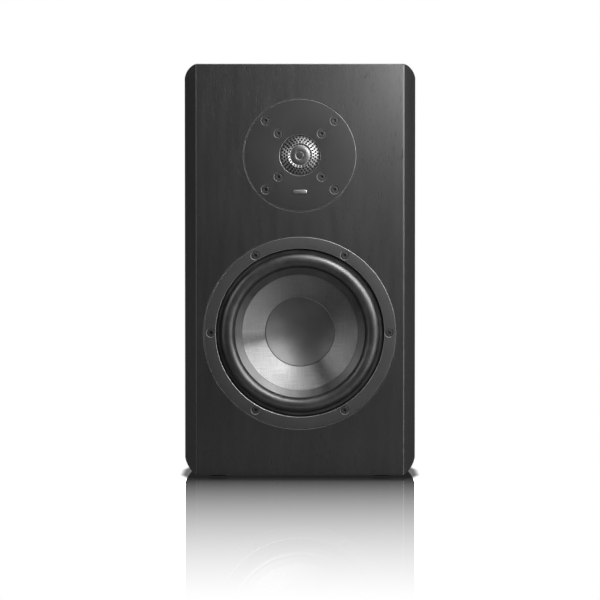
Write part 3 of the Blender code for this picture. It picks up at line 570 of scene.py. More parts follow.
def grille_nodes(nodes, point):
    """Satin metal, darker on the smooth ring inside the rows of holes."""
    smooth = nodes.between(nodes.from_axis(point), *SMOOTH_RING)
    grains = nodes.noise(point, 5.0, 2.0, 0.7)
    tint = nodes.blend(smooth, grey(0.38), grey(0.15))
    rough = nodes.spread(grains, 0.36, 0.44)
    return {"Base Color": tint, "Roughness": rough, "Normal": nodes.bump(grains, 0.02)}


def metal_nodes(dark, light, roughness, stretch=(1.0, 1.0, 1.0)):
    """Bare or plated metal, brushed along the axis whose stretch is small."""
    def fill(nodes, point):
        lines = nodes.noise(nodes.stretch(point, stretch), 4.0, 3.0, 0.6)
        cloud = nodes.noise(point, 0.08, 3.0)
        tint = nodes.blend(nodes.spread(cloud), dark, light)
        rough = nodes.spread(lines, roughness - 0.06, roughness + 0.08)
        return {"Base Color": tint, "Roughness": rough, "Normal": nodes.bump(lines, 0.006)}
    return fill


def plastic_nodes(colour, roughness, grain=2.2, depth=0.03):
    """Moulded plastic with a spark-eroded texture."""
    def fill(nodes, point):
        cells = nodes.add("TexVoronoi", {"Vector": point, "Scale": grain}, "Distance")
        cloud = nodes.noise(point, 0.05, 3.0)
        paler = tuple(1.35 * c for c in colour)
        tint = nodes.blend(nodes.spread(cloud), colour, paler)
        rough = nodes.spread(cloud, roughness - 0.04, roughness + 0.04)
        return {"Base Color": tint, "Roughness": rough, "Normal": nodes.bump(cells, depth)}
    return fill


def winding_nodes(nodes, point):
    """Enamelled wire wound in close turns round the Y axis."""
    depth = nodes.split(point, "Y")[0]
    turns = nodes.math("ABSOLUTE", nodes.math("SINE", nodes.math("MULTIPLY", depth, 7.0)))
    cloud = nodes.noise(point, 0.3, 2.0)
    tint = nodes.blend(nodes.spread(cloud), (0.42, 0.15, 0.06), (0.62, 0.27, 0.12))
    # Painted shade: darker in the grooves between the turns.
    tint = nodes.blend(nodes.between(turns, 0.0, 0.4), (0.12, 0.04, 0.02), tint)
    return {"Base Color": tint, "Normal": nodes.bump(turns, 0.2)}


def cloth_nodes(dark, light, pitch):
    """Coarse cloth in the XZ plane."""
    def fill(nodes, point):
        height, _ = weave(nodes, point, pitch)
        slubs = nodes.noise(point, 0.8, 3.0)
        tint = nodes.blend(nodes.spread(slubs), dark, light)
        shadow = tuple(0.3 * c for c in dark)
        tint = nodes.blend(nodes.between(height, 0.0, 0.4, 0.6, 0.0), tint, shadow)
        return {"Base Color": tint, "Normal": nodes.bump(height, 0.2)}
    return fill


FIBRE_BEND = 6.0  # how far the fibres stray from their straight run, in millimetres


def fibre_nodes(dark, light, scale, depth):
    """Matted or pressed fibres, as in fleece or fibreboard."""
    def fill(nodes, point):
        warp = nodes.add("TexNoise", {"Vector": point, "Scale": 0.3 * scale, "Detail": 2.0}, "Color")
        inputs = {0: warp, 1: (FIBRE_BEND,) * 3, 2: point}
        bent = nodes.add("VectorMath", inputs, operation="MULTIPLY_ADD")
        strands = nodes.noise(bent, scale, 4.0, 0.7)
        tint = nodes.blend(nodes.between(strands, 0.35, 0.65), dark, light)
        return {"Base Color": tint, "Normal": nodes.bump(strands, depth)}
    return fill


def board_nodes(nodes, point):
    """A circuit board's solder mask over its tracks."""
    inputs = {"Vector": point, "Scale": 0.09}
    cells = nodes.add("TexVoronoi", inputs, "Distance", distance="CHEBYCHEV", feature="F1")
    tracks = nodes.between(nodes.math("PINGPONG", cells, 0.12), 0.05, 0.06)
    tint = nodes.blend(tracks, (0.012, 0.07, 0.025), (0.03, 0.13, 0.045))
    return {"Base Color": tint, "Normal": nodes.bump(tracks, 0.04)}


# The basket's grey is paler than the faceplate's: painted light, making up for the dimmer light at the
# woofer's height.
FLANGE_PAINT_AND_PAINTED_LIGHT = paint_nodes(grey(0.040, 0.0005), 0.6, rims=(FLANGE_RADIUS, FLANGE_BORE))
FACEPLATE_PAINT = paint_nodes(grey(0.021, 0.0005), 0.6, rims=(FACEPLATE_RADIUS, FACEPLATE_BORE))
BRUSHED = metal_nodes(grey(0.58, 0.01), grey(0.68, 0.01), 0.3, (0.06, 1.0, 1.0))
FLEECE = fibre_nodes((0.6, 0.6, 0.57), (0.82, 0.82, 0.8), 0.9, 0.6)

# Each look has the function that adds its nodes, and the inputs that are the same all over.
LOOKS = {
    "veneer": (veneer_nodes, {}),
    "board": (fibre_nodes((0.24, 0.17, 0.11), (0.38, 0.28, 0.19), 1.2, 0.1), {"roughness": 0.9}),
    "black_metal": (paint_nodes(grey(0.036, 0.0005), 0.6), {"metallic": 0.1}),
    "basket_paint_and_painted_light": (FLANGE_PAINT_AND_PAINTED_LIGHT, {}),
    "faceplate_paint": (FACEPLATE_PAINT, {"specular_ior_level": 0.38}),
    "grille_metal": (grille_nodes, {"metallic": 0.9}),
    "screw_black": (metal_nodes(grey(0.03, 0.001), grey(0.042, 0.001), 0.5), {"metallic": 0.2}),
    "rubber": (rubber_nodes(grey(0.11), 0.38), {"metallic": 0.9}),
    "cone_fibre": (cone_nodes, {"metallic": 0.85, "coat_weight": 0.15, "coat_roughness": 0.3}),
    "cap_skin": (cap_nodes, {"metallic": 0.7}),
    "spider_cloth": (cloth_nodes((0.26, 0.15, 0.05), (0.42, 0.27, 0.10), 0.7), {"roughness": 0.85}),
    "copper": (winding_nodes, {"metallic": 1.0, "roughness": 0.3}),
    "steel": (metal_nodes(grey(0.38, 0.01), grey(0.5, 0.02), 0.35), {"metallic": 1.0}),
    "ferrite": (paint_nodes(grey(0.045, 0.005), 0.6, 0.08), {}),
    "aluminium": (BRUSHED, {"metallic": 1.0}),
    # The diaphragm's near-black metal is a painted shade for the dim space behind the grille's holes.
    "dome_painted_shade": (metal_nodes(grey(0.04), grey(0.06), 0.4), {"metallic": 0.9}),
    "plastic": (plastic_nodes(grey(0.013), 0.42), {}),
    "gold": (metal_nodes((0.74, 0.48, 0.17), (0.84, 0.60, 0.26), 0.2), {"metallic": 1.0}),
    "red_plastic": (plastic_nodes((0.38, 0.012, 0.012), 0.25, 1.0, 0.006), {"coat_weight": 0.3}),
    "circuit_board": (board_nodes, {"roughness": 0.4}),
    "wadding": (FLEECE, {"roughness": 1.0, "sheen_weight": 0.3}),
    "wire": (rubber_nodes((0.30, 0.015, 0.015), 0.4), {}),
}
looks = {name: material(name, fill, **uniform) for name, (fill, uniform) in LOOKS.items()}


# Cabinet

def half_width(depth):
    """Half the cabinet's width at a depth behind the baffle's face, with the shoulder softened."""
    flared = SHOULDER + FRONT_SLOPE * (depth - SHOULDER_DEPTH)
    tapered = SHOULDER - REAR_SLOPE * (depth - SHOULDER_DEPTH)
    reach = abs(depth - SHOULDER_DEPTH)
    softening = max(0.0, SHOULDER_BLEND - reach) ** 2 / (4 * SHOULDER_BLEND)
    return min(flared, tapered) - softening * (FRONT_SLOPE + REAR_SLOPE)


def corner_arc(depth, inset=0.0, steps=12):
    """The cabinet's outline from its right side to its top at a depth, as (x, z) points about its centre.

    Its corner is an arc that the flat side cuts off, with a small rounding where they meet.
    """
    side = half_width(depth) - RIM
    core = EDGE_RADIUS - RIM
    corner_x = SHOULDER - EDGE_RADIUS
    corner_z = (HIGH - LOW) / 2 - EDGE_RADIUS
    share = min(1.0, max(0.0, (side - corner_x) / core))
    cut_off = math.acos(share)
    points = []
    for i in range(steps + 1):
        angle = math.pi / 2 * i / steps
        x = min(corner_x + core * math.cos(angle), side)
        z = corner_z + core * math.sin(max(angle, cut_off))
        reach = RIM - inset
        points.append((x + reach * math.cos(angle), z + reach * math.sin(angle)))
    return points


def section(depth, inset=0.0, shrink=0.0):
    """The whole outline at a depth as (x, y, z) points."""
    middle = (LOW + HIGH) / 2
    quarter = [(x - shrink, z - shrink) for x, z in corner_arc(depth, inset)]
    points = []
    for side, level in ((1, 1), (-1, 1), (-1, -1), (1, -1)):
        run = quarter if side == level else quarter[::-1]
        points += [(side * x, FRONT + depth, middle + level * z) for x, z in run]
    return points


def rim_rings(face, inwards, steps=5):
    """Rings that round a board's edge, from within its flat face out to its sides."""
    rings = [section(face, RIM, 1.0)]
    for i in range(steps + 1):
        angle = math.pi / 2 * i / steps
        depth = face + inwards * RIM * (1 - math.cos(angle))
        rings.append(section(depth, RIM * (1 - math.sin(angle))))
    return rings


def along_depths(steps=16):
    """Depths from the baffle to the rear board, closest together at the shoulder."""
    shares = [(step / steps) ** 2 for step in range(steps + 1)]
    before = [SHOULDER_DEPTH - (SHOULDER_DEPTH - BAFFLE_BACK) * share for share in reversed(shares)]
    after = [SHOULDER_DEPTH + (REAR_FRONT - SHOULDER_DEPTH) * share for share in shares[1:]]
    return before + after


def through_board(face, inner, steps=5):
    """Sections from a board's face to its inner side, with the face's edge rounded."""
    inwards = math.copysign(1, inner - face)
    start = face + inwards * RIM
    depths = [start + (inner - start) * step / steps for step in range(1, steps + 1)]
    return rim_rings(face, inwards) + [section(depth) for depth in depths]


def make_cabinet():
    make_baffle()
    make_rear_panel()
    for name, level in (("top_panel", 1), ("bottom_panel", -1)):
        make_level_board(name, level)
    for name, side in (("side_panel_left", -1), ("side_panel_right", 1)):
        make_side_board(name, side)
    make_feet()


# For each driver: its place, its flange's radius, the hole behind it, and how deep the flange is let in
DRIVER_HOLES = [
    (WOOFER, FLANGE_RADIUS, 76.5, 8.3),
    (TWEETER, FACEPLATE_RADIUS, 36.5, 4.8),
]


def make_baffle():
    """The front board, with a stepped hole for each driver."""
    past = 2

    def fill(bm):
        loft_into(bm, through_board(0.0, BAFFLE_BACK))

    def holes(bm):
        for place, flange, through, floor in DRIVER_HOLES:
            wide = flange + REBATE_GAP
            profile = [
                (0, -past), (wide + REBATE_CHAMFER + past, -past), (wide, REBATE_CHAMFER), (wide, floor),
                (through, floor), (through, BAFFLE_BACK + past), (0, BAFFLE_BACK + past),
            ]
            profile = [(r, y + FRONT) for r, y in profile]
            turn_into(bm, profile, ROUND, (place.x, place.z))

    mesh = build("front_baffle_board", fill, holes)
    piece("front_baffle_board", mesh, "veneer", "cabinet", "front_baffle")


PORT_HOLE = 34.2
TERMINAL_HOLE = (72, 40, 5)  # width, height and the corners' radius


def make_rear_panel():
    """The rear board, with holes for the port and the terminals."""
    def fill(bm):
        loft_into(bm, through_board(DEPTH, REAR_FRONT))

    def holes(bm):
        front, back = REAR - BOARD - 3, REAR + 3
        drill_into(bm, PORT_HOLE, front, back, 96, (PORT.x, PORT.z))
        slab_into(bm, *TERMINAL_HOLE, [(0, front), (0, back)], (TERMINALS.x, TERMINALS.z))

    piece("rear_board", build("rear_board", fill, holes), "veneer", "cabinet", "rear_panel")


def make_level_board(name, level):
    """The top or the base, whose ends hold the cabinet's rounded corners."""
    middle = (LOW + HIGH) / 2
    split = SIDE_HIGH - middle if level > 0 else middle - SIDE_LOW

    def fill(bm):
        rings = []
        for depth in along_depths():
            quarter = [(half_width(depth), split)] + corner_arc(depth)
            outline = quarter + [(-x, z) for x, z in reversed(quarter)]
            rings.append([(x, FRONT + depth, middle + level * z) for x, z in outline])
        loft_into(bm, rings)

    piece(f"{name}_board", build(name, fill), "veneer", "cabinet", name, sharp=40)


def make_side_board(name, side):
    """A side between the top and the base, as wide as the cabinet is at each depth."""
    def fill(bm):
        rings = []
        for depth in along_depths():
            outer = half_width(depth)
            inner = outer - BOARD
            corners = [(outer, SIDE_LOW), (outer, SIDE_HIGH), (inner, SIDE_HIGH), (inner, SIDE_LOW)]
            rings.append([(side * x, FRONT + depth, z) for x, z in corners])
        loft_into(bm, rings)

    piece(f"{name}_board", build(name, fill), "veneer", "cabinet", name)


def make_feet():
    """Soft discs with a rounded tread edge."""
    for number in range(1, 5):
        node = f"foot_{number}"
        low, high = box(node)
        radius = (high.x - low.x) / 2
        profile = rounded([(0, low.z), (radius, low.z, 0.7), (radius, high.z, 0.3), (0, high.z)])

        def fill(bm):
            turn_into(bm, profile, 48)
            for vert in bm.verts:
                x, y, z = vert.co
                vert.co = (x, -z, y)

        centre = ((low.x + high.x) / 2, (low.y + high.y) / 2, 0)
        piece(f"rubber_{node}", build(node, fill), "rubber", "cabinet", node, centre)


# Screws

HEAD_RADIUS = 3.4
HEAD_HEIGHT = 2.5
HEAD_RECESS = 0.35  # how far a head's top lies behind its plate's face
HEAD_ROUNDING = 0.45
SOCKET_RADIUS = 1.75
COUNTERBORE = 4.35  # the radius at the mouth of a screw's hole, before its chamfer
MOUTH_CHAMFER = 0.6
SCREW_BORE = 2.2


def screw_mesh(name, shank, length):
    """A socket-head screw that points along +Y."""
    top, shoulder = HEAD_RECESS, HEAD_RECESS + HEAD_HEIGHT

    def fill(bm):
        head = rounded([
            (0, top), (HEAD_RADIUS, top, HEAD_ROUNDING), (HEAD_RADIUS, shoulder, 0.2), (shank, shoulder),
        ])
        turn_into(bm, head + [(shank, length - 1.5), (0, length)], SMALL_ROUND)

    return build(name, fill, hex_socket(top - 1, top + 1.6, top + 2.1))


def hex_socket(mouth, wall, tip):
    """A cutter for a head's six-sided socket: where it starts, and the ends of its wall and its tip."""
    def fill(bm):
        turn_into(bm, [(0, mouth), (SOCKET_RADIUS, mouth), (SOCKET_RADIUS, wall), (0, tip)], 6)
    return fill


def make_screws(prefix, count, mesh, plane):
    """Screws that share a mesh, with their heads at the plane."""
    for number in range(1, count + 1):
        node = f"{prefix}_{number}"
        piece(f"{node}_socket_head", mesh, "screw_black", "cabinet", node, axis_point(node, plane))


def counterbores(places, seat, thickness):
    """Stepped holes for screws, with a small chamfer at the mouth."""
    wide = COUNTERBORE - MOUTH_CHAMFER
    profile = [
        (0, -1), (COUNTERBORE + 1, -1), (wide, MOUTH_CHAMFER), (wide, seat), (SCREW_BORE, seat),
        (SCREW_BORE, thickness + 1), (0, thickness + 1),
    ]

    def fill(bm):
        for place in places:
            turn_into(bm, profile, SMALL_ROUND, place)
    return fill


# Woofer

def cone_depth(radius):
    return CONE_EDGE_DEPTH + CONE_SLOPE * (CONE_EDGE - radius)


def make_woofer():
    make_woofer_frame()
    make_surround()
    make_spider()
    make_cone()
    make_dust_cap()
    make_screws("woofer_screw", 6, screw_mesh("woofer_screw", 1.9, 22), WOOFER.y)


SPIDER_SEAT = 44.0
FLANGE_THICKNESS = 8.0
BASKET_WINDOWS = 6
WINDOW_HALF = 21  # half a window's width, in degrees from the axis
WINDOW_DEPTHS = (18, 40)
WINDOW_RADII = (35, 95)


def make_woofer_frame():
    """The cast basket: its flange lies flush in the baffle, and windows open its sides."""
    flange = [(FLANGE_RADIUS, 0, 0.55), (FLANGE_BORE, 0, 0.5), (FLANGE_BORE, SEAT, 0.4)]
    inside = [
        (70.6, SEAT), (70.6, 10), (50.8, 41), (50.8, SPIDER_SEAT), (45.5, SPIDER_SEAT), (45.5, 54),
        (24, 54),
    ]
    outside = [
        (24, 57), (50.5, 57, 1.0), (53.8, 44, 2.0), (74.2, 13.5, 2.0), (76, 10.8), (76, FLANGE_THICKNESS),
        (FLANGE_RADIUS, FLANGE_THICKNESS),
    ]
    profile = rounded(flange + inside + outside)
    bores = counterbores(circle_places(6, WOOFER_SCREW_CIRCLE), 3.7, FLANGE_THICKNESS)
    turned(
        "woofer_basket", profile, "basket_paint_and_painted_light", "cabinet", "woofer_frame", WOOFER,
        cutters=[basket_windows, bores],
    )


def basket_windows(bm):
    """Wedges that widen outwards, one for each window."""
    near, far = WINDOW_RADII
    spread = math.tan(math.radians(WINDOW_HALF))
    for turn in range(BASKET_WINDOWS):
        angle = math.radians(360 / BASKET_WINDOWS * turn)
        rings = []
        for y in WINDOW_DEPTHS:
            ring = []
            for u, side in ((near, -1), (far, -1), (far, 1), (near, 1)):
                v = side * u * spread
                x = u * math.cos(angle) - v * math.sin(angle)
                z = u * math.sin(angle) + v * math.cos(angle)
                ring.append((x, y, z))
            rings.append(ring)
        loft_into(bm, rings)


def blend_rings(obj, start_radius, end_radius):
    """Makes obj bend from the cabinet, at its start radius, to the moving cone, at its end radius."""
    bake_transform(obj, "cabinet", "woofer_piston", start=WOOFER * MM + Vector((0, 0, start_radius * MM)),
             end=WOOFER * MM + Vector((0, 0, end_radius * MM)))
    weights = obj.data.attributes["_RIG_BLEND"].data
    for vert, weight in zip(obj.data.vertices, weights):
        radius = math.hypot(vert.co.x - WOOFER.x * MM, vert.co.z - WOOFER.z * MM) / MM
        share = min(1.0, max(0.0, (start_radius - radius) / (start_radius - end_radius)))
        weight.value = share * share * (3 - 2 * share)


def half_roll(start, end, half, height, foot):
    """Points along the surround's roll, between two angles, that bulge forwards from its foot's depth."""
    return arc((ROLL_RADIUS, foot), half, start, end, 28, height)


def make_surround():
    """The rubber half-roll, its clamped foot, and the lip that covers the cone's edge."""
    height = ROLL_FOOT - box("woofer_surround")[0].y + FRONT
    foot_edge = FLANGE_BORE - 0.6
    lip_top = GAP + RUBBER
    lip_outer = CONE_EDGE - 0.3
    outer = half_roll(0, -180, ROLL_HALF, height, ROLL_FOOT)
    inner = half_roll(-180, 0, ROLL_HALF - RUBBER, height - RUBBER, ROLL_FOOT + RUBBER)
    front = [(foot_edge, ROLL_FOOT), (foot_edge - 1, ROLL_FOOT)] + outer
    front += rounded([
        outer[-1], (lip_outer, cone_depth(lip_outer) - lip_top, 0.6),
        (LIP_INNER, cone_depth(LIP_INNER) - lip_top, 0.4), (LIP_INNER, cone_depth(LIP_INNER) - GAP),
    ])[1:]
    back = [(CONE_EDGE, cone_depth(CONE_EDGE) - GAP)] + inner + [(foot_edge, ROLL_FOOT + RUBBER)]
    made = turned("surround_roll", front + back, "rubber", None, "woofer_surround", WOOFER, sharp=50)
    blend_rings(made, ROLL_RADIUS + ROLL_HALF, ROLL_RADIUS - ROLL_HALF)


SPIDER_CLOTH = 0.7
SPIDER_INSIDE, SPIDER_OUTSIDE, SPIDER_RIM = 16.7, 45.0, 50.2
SPIDER_WAVES = 3.5
SPIDER_WAVE_HEIGHT = 0.75


def make_spider():
    """The corrugated cloth that centres the voice coil."""
    middle = SPIDER_SEAT - GAP - SPIDER_CLOTH
    steps = 98
    top = [(SPIDER_RIM, middle)]
    for i in range(steps + 1):
        share = i / steps
        radius = SPIDER_OUTSIDE + (SPIDER_INSIDE - SPIDER_OUTSIDE) * share
        wave = math.cos(math.tau * SPIDER_WAVES * share) - 1
        top.append((radius, middle + SPIDER_WAVE_HEIGHT * wave))
    profile = skin(top, SPIDER_CLOTH)
    made = turned("spider_corrugations", profile, "spider_cloth", None, "woofer_spider", WOOFER, sharp=50)
    blend_rings(made, SPIDER_OUTSIDE, SPIDER_INSIDE + 1)


def make_cone():
    steps = 14
    radii = [CONE_EDGE + (CONE_NECK - CONE_EDGE) * i / steps for i in range(steps + 1)]
    profile = skin([(r, cone_depth(r)) for r in radii], 0.8)
    turned("woven_cone", profile, "cone_fibre", "woofer_piston", "woofer_cone", WOOFER)


def make_dust_cap():
    """A concave dish with a small rolled rim, glued to the cone."""
    thickness, dish, roll, steps = 0.6, 9.0, 0.35, 24
    rim = cone_depth(CAP_RADIUS) - GAP - thickness
    radii = [CAP_RADIUS * i / steps for i in range(steps)]
    front = [(r, rim + dish * (1 - (r / CAP_RADIUS) ** 2)) for r in radii]
    back = [(r, y + thickness) for r, y in reversed(front)]
    rolled = arc((CAP_RADIUS - roll, rim + 0.55), roll, -80, 80, 6)
    turned("dished_cap", front + rolled + back, "cap_skin", "woofer_piston", "woofer_dust_cap", WOOFER)


# Tweeter

def make_tweeter():
    make_faceplate()
    make_grille()
    make_dome()
    make_badge()
    make_screws("tweeter_screw", 4, screw_mesh("tweeter_screw", 1.7, 20), TWEETER.y)
    make_screws("tweeter_motor_screw", 4, screw_mesh("tweeter_motor_screw", 1.7, 10), TWEETER.y)


FACEPLATE_THICKNESS = 4.5
GRILLE_SEAT = 3.0
MOTOR_BORE = 16.6


def make_faceplate():
    """A flat plate with a stepped bore for the grille, and counterbored holes for both rings of screws."""
    profile = rounded([
        (FACEPLATE_RADIUS, 0, 0.5), (FACEPLATE_BORE, 0, 0.45), (FACEPLATE_BORE, GRILLE_SEAT),
        (MOTOR_BORE, GRILLE_SEAT), (MOTOR_BORE, FACEPLATE_THICKNESS),
        (FACEPLATE_RADIUS, FACEPLATE_THICKNESS),
    ])
    places = []
    for prefix in ("tweeter_screw", "tweeter_motor_screw"):
        for number in range(1, 5):
            place = axis_point(f"{prefix}_{number}", 0) - TWEETER
            places.append((place.x, place.z))
    bores = counterbores(places, 3.0, FACEPLATE_THICKNESS)
    turned(
        "round_faceplate", profile, "faceplate_paint", "cabinet", "tweeter_faceplate", TWEETER,
        cutters=[bores],
    )


# The grille's face, as (radius, y) from its centre to its edge
GRILLE_RINGS = [
    (0.0, -2.3), (2.6, -2.3), (3.6, -2.1), (4.0, -2.4), (4.6, -2.5), (6.0, -2.45), (7.6, -2.3),
    (8.7, -1.85), (9.3, -1.45), (9.8, -1.55), (10.3, -2.1), (10.9, -2.5), (11.5, -2.45), (12.4, -2.05),
    (14.0, -1.0), (15.6, 0.1), (16.8, 0.9), (17.4, 1.5), (18.1, 2.0),
]
# Its rows of holes: radius of the row, number of holes, and a hole's radius
HOLE_RINGS = [
    (0.0, 1, 0.6), (2.0, 6, 0.6), (10.2, 24, 0.8), (12.3, 26, 0.95), (14.4, 30, 1.0), (16.4, 34, 0.9),
]


def grille_holes(bm):
    """Rings of round holes, each turned by half a step from the one before it."""
    for turn, (radius, count, hole) in enumerate(HOLE_RINGS):
        for place in circle_places(count, radius, turn * 180 / count):
            drill_into(bm, hole, -5, 5, 10, place)


def make_grille():
    """A perforated metal dome with a solid ring round its centre."""
    turned(
        "perforated_dome", skin(GRILLE_RINGS, 0.6), "grille_metal", "cabinet", "tweeter_grille", TWEETER,
        segments=120, sharp=40, cutters=[grille_holes],
    )


def make_dome():
    """The metal diaphragm, with its half-roll and lip, painted near black as shade behind the grille."""
    radius, crest, rim, steps = 12.7, 1.4, 5.4, 20
    roll_middle, roll_half, lip = 14.3, 1.6, 18.4
    front = [(radius * i / steps, crest + (rim - crest) * (i / steps) ** 2) for i in range(steps)]
    front += arc((roll_middle, rim), roll_half, -180, 0, 12) + [(lip, rim)]
    turned("dome_diaphragm", skin(front, 0.4), "dome_painted_shade", "tweeter_piston", "tweeter_dome", TWEETER)


def make_badge():
    """A plain bar with round ends and softened edges."""
    low, high = box("badge")
    width, height = high.x - low.x, high.z - low.z
    profile = [(0, high.y), (0, low.y + 0.15), (0.06, low.y + 0.05), (0.18, low.y)]

    def fill(bm):
        slab_into(bm, width, height, height / 2 - 0.1, profile, (0, (low.z + high.z) / 2))

    piece("plain_bar", build("plain_bar", fill), "aluminium", "cabinet", "badge")


# Rear of the cabinet

def make_port():
    """A tube flared at both ends, with a flange on the rear board."""
    lip, length, flare = 2.5, 105.0, 17.0
    mouth, bore, flange, wall = 34.0, 25.0, 42.0, 2.2
    inner_flare, inner_reach, edge = 6, 9, 0.9
    inner_end = inner_reach - length
    inside = arc((mouth, lip - flare), mouth - bore, 90, 180, 15, flare)
    inside += arc((bore + inner_flare, inner_end), inner_flare, 180, 270, 9, inner_reach)
    outside = [
        (bore + wall, inner_end), (bore + wall, lip - flare), (mouth - 0.4, -3), (mouth - 0.4, GAP),
        (flange, GAP),
    ]
    outside += arc((flange - edge, lip - edge), edge, 0, 90, 6)
    turned("flared_port", inside + outside, "plastic", "cabinet", "port_tube", PORT)


POST_HOLE = 2.8
PLATE_EDGE = 1.0
TERMINAL_SEAT = 1.2  # how deep the terminal screws' heads sit in the plate


def make_terminals():
    """The terminal plate, its screws and its two binding posts."""
    low, high = box("terminal_plate")
    width, height = high.x - low.x, high.z - low.z
    inner, outer = low.y - REAR, high.y - REAR
    posts = [axis_point(f"binding_post_clamp_{side}", 0).x for side in ("negative", "positive")]
    screws = [axis_point(f"terminal_screw_{n}", 0) - TERMINALS for n in range(1, 5)]

    def fill(bm):
        edge = arc((PLATE_EDGE, outer - PLATE_EDGE), PLATE_EDGE, 180, 90, 6)
        slab_into(bm, width, height, 7, [(0, inner), *edge, (2.0, outer)])

    def holes(bm):
        for x in posts:
            drill_into(bm, POST_HOLE, -3, 9, SMALL_ROUND, (x, 0))
        seat = outer - TERMINAL_SEAT
        head = HEAD_RADIUS + 0.3
        profile = [
            (0, -3), (1.9, -3), (1.9, seat), (head, seat), (head, outer - 0.25), (head + 1.25, outer + 1),
            (0, outer + 1),
        ]
        for place in screws:
            turn_into(bm, profile, SMALL_ROUND, (place.x, place.z))

    mesh = build("terminal_cup", fill, holes)
    piece("terminal_cup", mesh, "plastic", "cabinet", "terminal_plate", TERMINALS)
    for number, place in enumerate(screws, 1):
        make_terminal_screw(number, place, outer)
    for side, x in zip(("negative", "positive"), posts):
        make_binding_post(side, Vector((x, REAR + outer, TERMINALS.z)))


def make_terminal_screw(number, place, outer):
    """A socket-head screw seen from behind, so that its head faces +Y."""
    low = outer - TERMINAL_SEAT + GAP
    high = low + 2.0

    def fill(bm):
        profile = rounded([(0, high), (HEAD_RADIUS, high, HEAD_ROUNDING), (HEAD_RADIUS, low), (1.5, low)])
        turn_into(bm, profile + [(1.5, -12), (0, -14)], SMALL_ROUND)

    node = f"terminal_screw_{number}"
    mesh = build(node, fill, hex_socket(high + 1, high - 1.2, high - 1.5))
    piece(f"{node}_socket_head", mesh, "screw_black", "cabinet", node, TERMINALS + place)


def make_binding_post(side, place):
    """A gold-plated stud with a collar, a coloured clamp ring and a fluted cap with a 4 mm socket."""
    radius, shank, flute = 7.5, 3.4, 0.55
    stud = rounded([
        (0, -22), (2.4, -22), (2.4, GAP), (radius, GAP, 0.2), (radius, 3.3, 0.4), (3.0, 3.3),
        (3.0, 17.0, 0.3), (2.0, 17.0, 0.3), (2.0, 7.0), (0, 7.0),
    ])
    turned(f"post_stud_{side}", stud, "gold", "cabinet", f"binding_post_stud_{side}", place, 64)
    ring = rounded([(shank, 3.6), (radius, 3.6, 0.35), (radius, 6.1, 0.35), (shank, 6.1)])
    colour = "red_plastic" if side == "positive" else "plastic"
    turned(f"post_clamp_{side}", ring, colour, f"clamp_{side}", f"binding_post_clamp_{side}", place, 64)
    start, end = 6.4, 20.0
    grip = [
        (shank, start), (radius - 0.9, start, 0), (radius - 0.2, start + 0.35, 0),
        (radius, start + 1.0, flute), (radius, end - 3.2, flute), (radius, end - 2.6, 0),
    ]
    tip = [
        (radius, end - 1.0, 0), (radius - 0.3, end - 0.3, 0), (radius - 1.0, end, 0), (3.0, end),
        (2.2, end - 0.8), (2.2, end - 1.8), (shank, end - 1.8),
    ]
    mesh = build(f"post_cap_{side}", lambda bm: turn_into(bm, grip + tip, 144, flutes=18))
    piece(f"post_cap_{side}", mesh, "gold", f"cap_{side}", f"binding_post_cap_{side}", place, sharp=35)


# Inside of the cabinet

BOXINESS = 0.45  # from 0, a block, to 1, an egg


def make_wadding():
    """A loose block of fleece: a soft-edged pad whose surface billows."""
    low, high = box("acoustic_wadding")
    centre, half = (low + high) / 2, (high - low) / 2

    def fill(bm):
        bmesh.ops.create_uvsphere(bm, u_segments=36, v_segments=24, radius=1.0)
        for vert in bm.verts:
            x, y, z = [math.copysign(abs(c) ** BOXINESS, c) for c in vert.co.normalized()]
            billow = 0.93 + 0.05 * math.sin(5 * x + 2 * z) * math.cos(4 * y - 3 * z)
            vert.co = [c * h * billow for c, h in zip((x, y, z), half)]

    mesh = build("fleece_block", fill)
    made = piece("fleece_block", mesh, "wadding", "cabinet", "acoustic_wadding", centre, 80)


def dress_inner_nodes():
    """Gives each CAD node that still shows the material of its slot."""
    slots = {part["node"]: part["material_slot"] for part in frame["record"]["subparts"]}
    for name, node in frame["nodes"].items():
        if node.hide_render:
            continue
        node.data.materials.clear()
        node.data.materials.append(looks[slots[name]])
        node.data.set_sharp_from_angle(angle=math.radians(30))


# Studio

ROOM = 0.03  # how bright the room is that the object mirrors
FLOOR_GLOW = 0.08  # how much the floor lights the object
FLOOR_HALF = 20000
CAMERA_DISTANCE = 2600.0
CAMERA_HEIGHT = 250.0
TARGET_HEIGHT = 163.6
LENS = 170.1
MIRROR_SHARE = 0.985
MIRROR_FULL = 12.0  # how far from the cabinet's foot its mirror image stays whole
MIRROR_REACH = 810.0  # and how far from it the image has faded
CONTACT_REACH = 5.0
CONTACT_SHADE = 0.15


def aimed(obj, place, target):
    """Puts a light or camera at its place, turned to its target."""
    obj.location = Vector(place) * MM
    direction = (Vector(target) - Vector(place)).normalized()
    obj.rotation_euler = direction.to_track_quat("-Z", "Y").to_euler()
    bpy.context.scene.collection.objects.link(obj)


def make_camera():
    lens = bpy.data.cameras.new("camera")
    lens.lens = LENS
    lens.sensor_width = 36.0
    lens.clip_end = 100.0
    camera = bpy.data.objects.new("camera", lens)
    aimed(camera, (0, FRONT - CAMERA_DISTANCE, CAMERA_HEIGHT), (0, FRONT, TARGET_HEIGHT))
    bpy.context.scene.camera = camera


def softbox(name, place, target, width, height, power):
    """A rectangular light that the camera doesn't see. Its power is in watts."""
    light = bpy.data.lights.new(name, "AREA")
    light.shape = "RECTANGLE"
    light.size, light.size_y = width * MM, height * MM
    light.energy = power
    made = bpy.data.objects.new(name, light)
    made.visible_camera = False
    aimed(made, place, target)


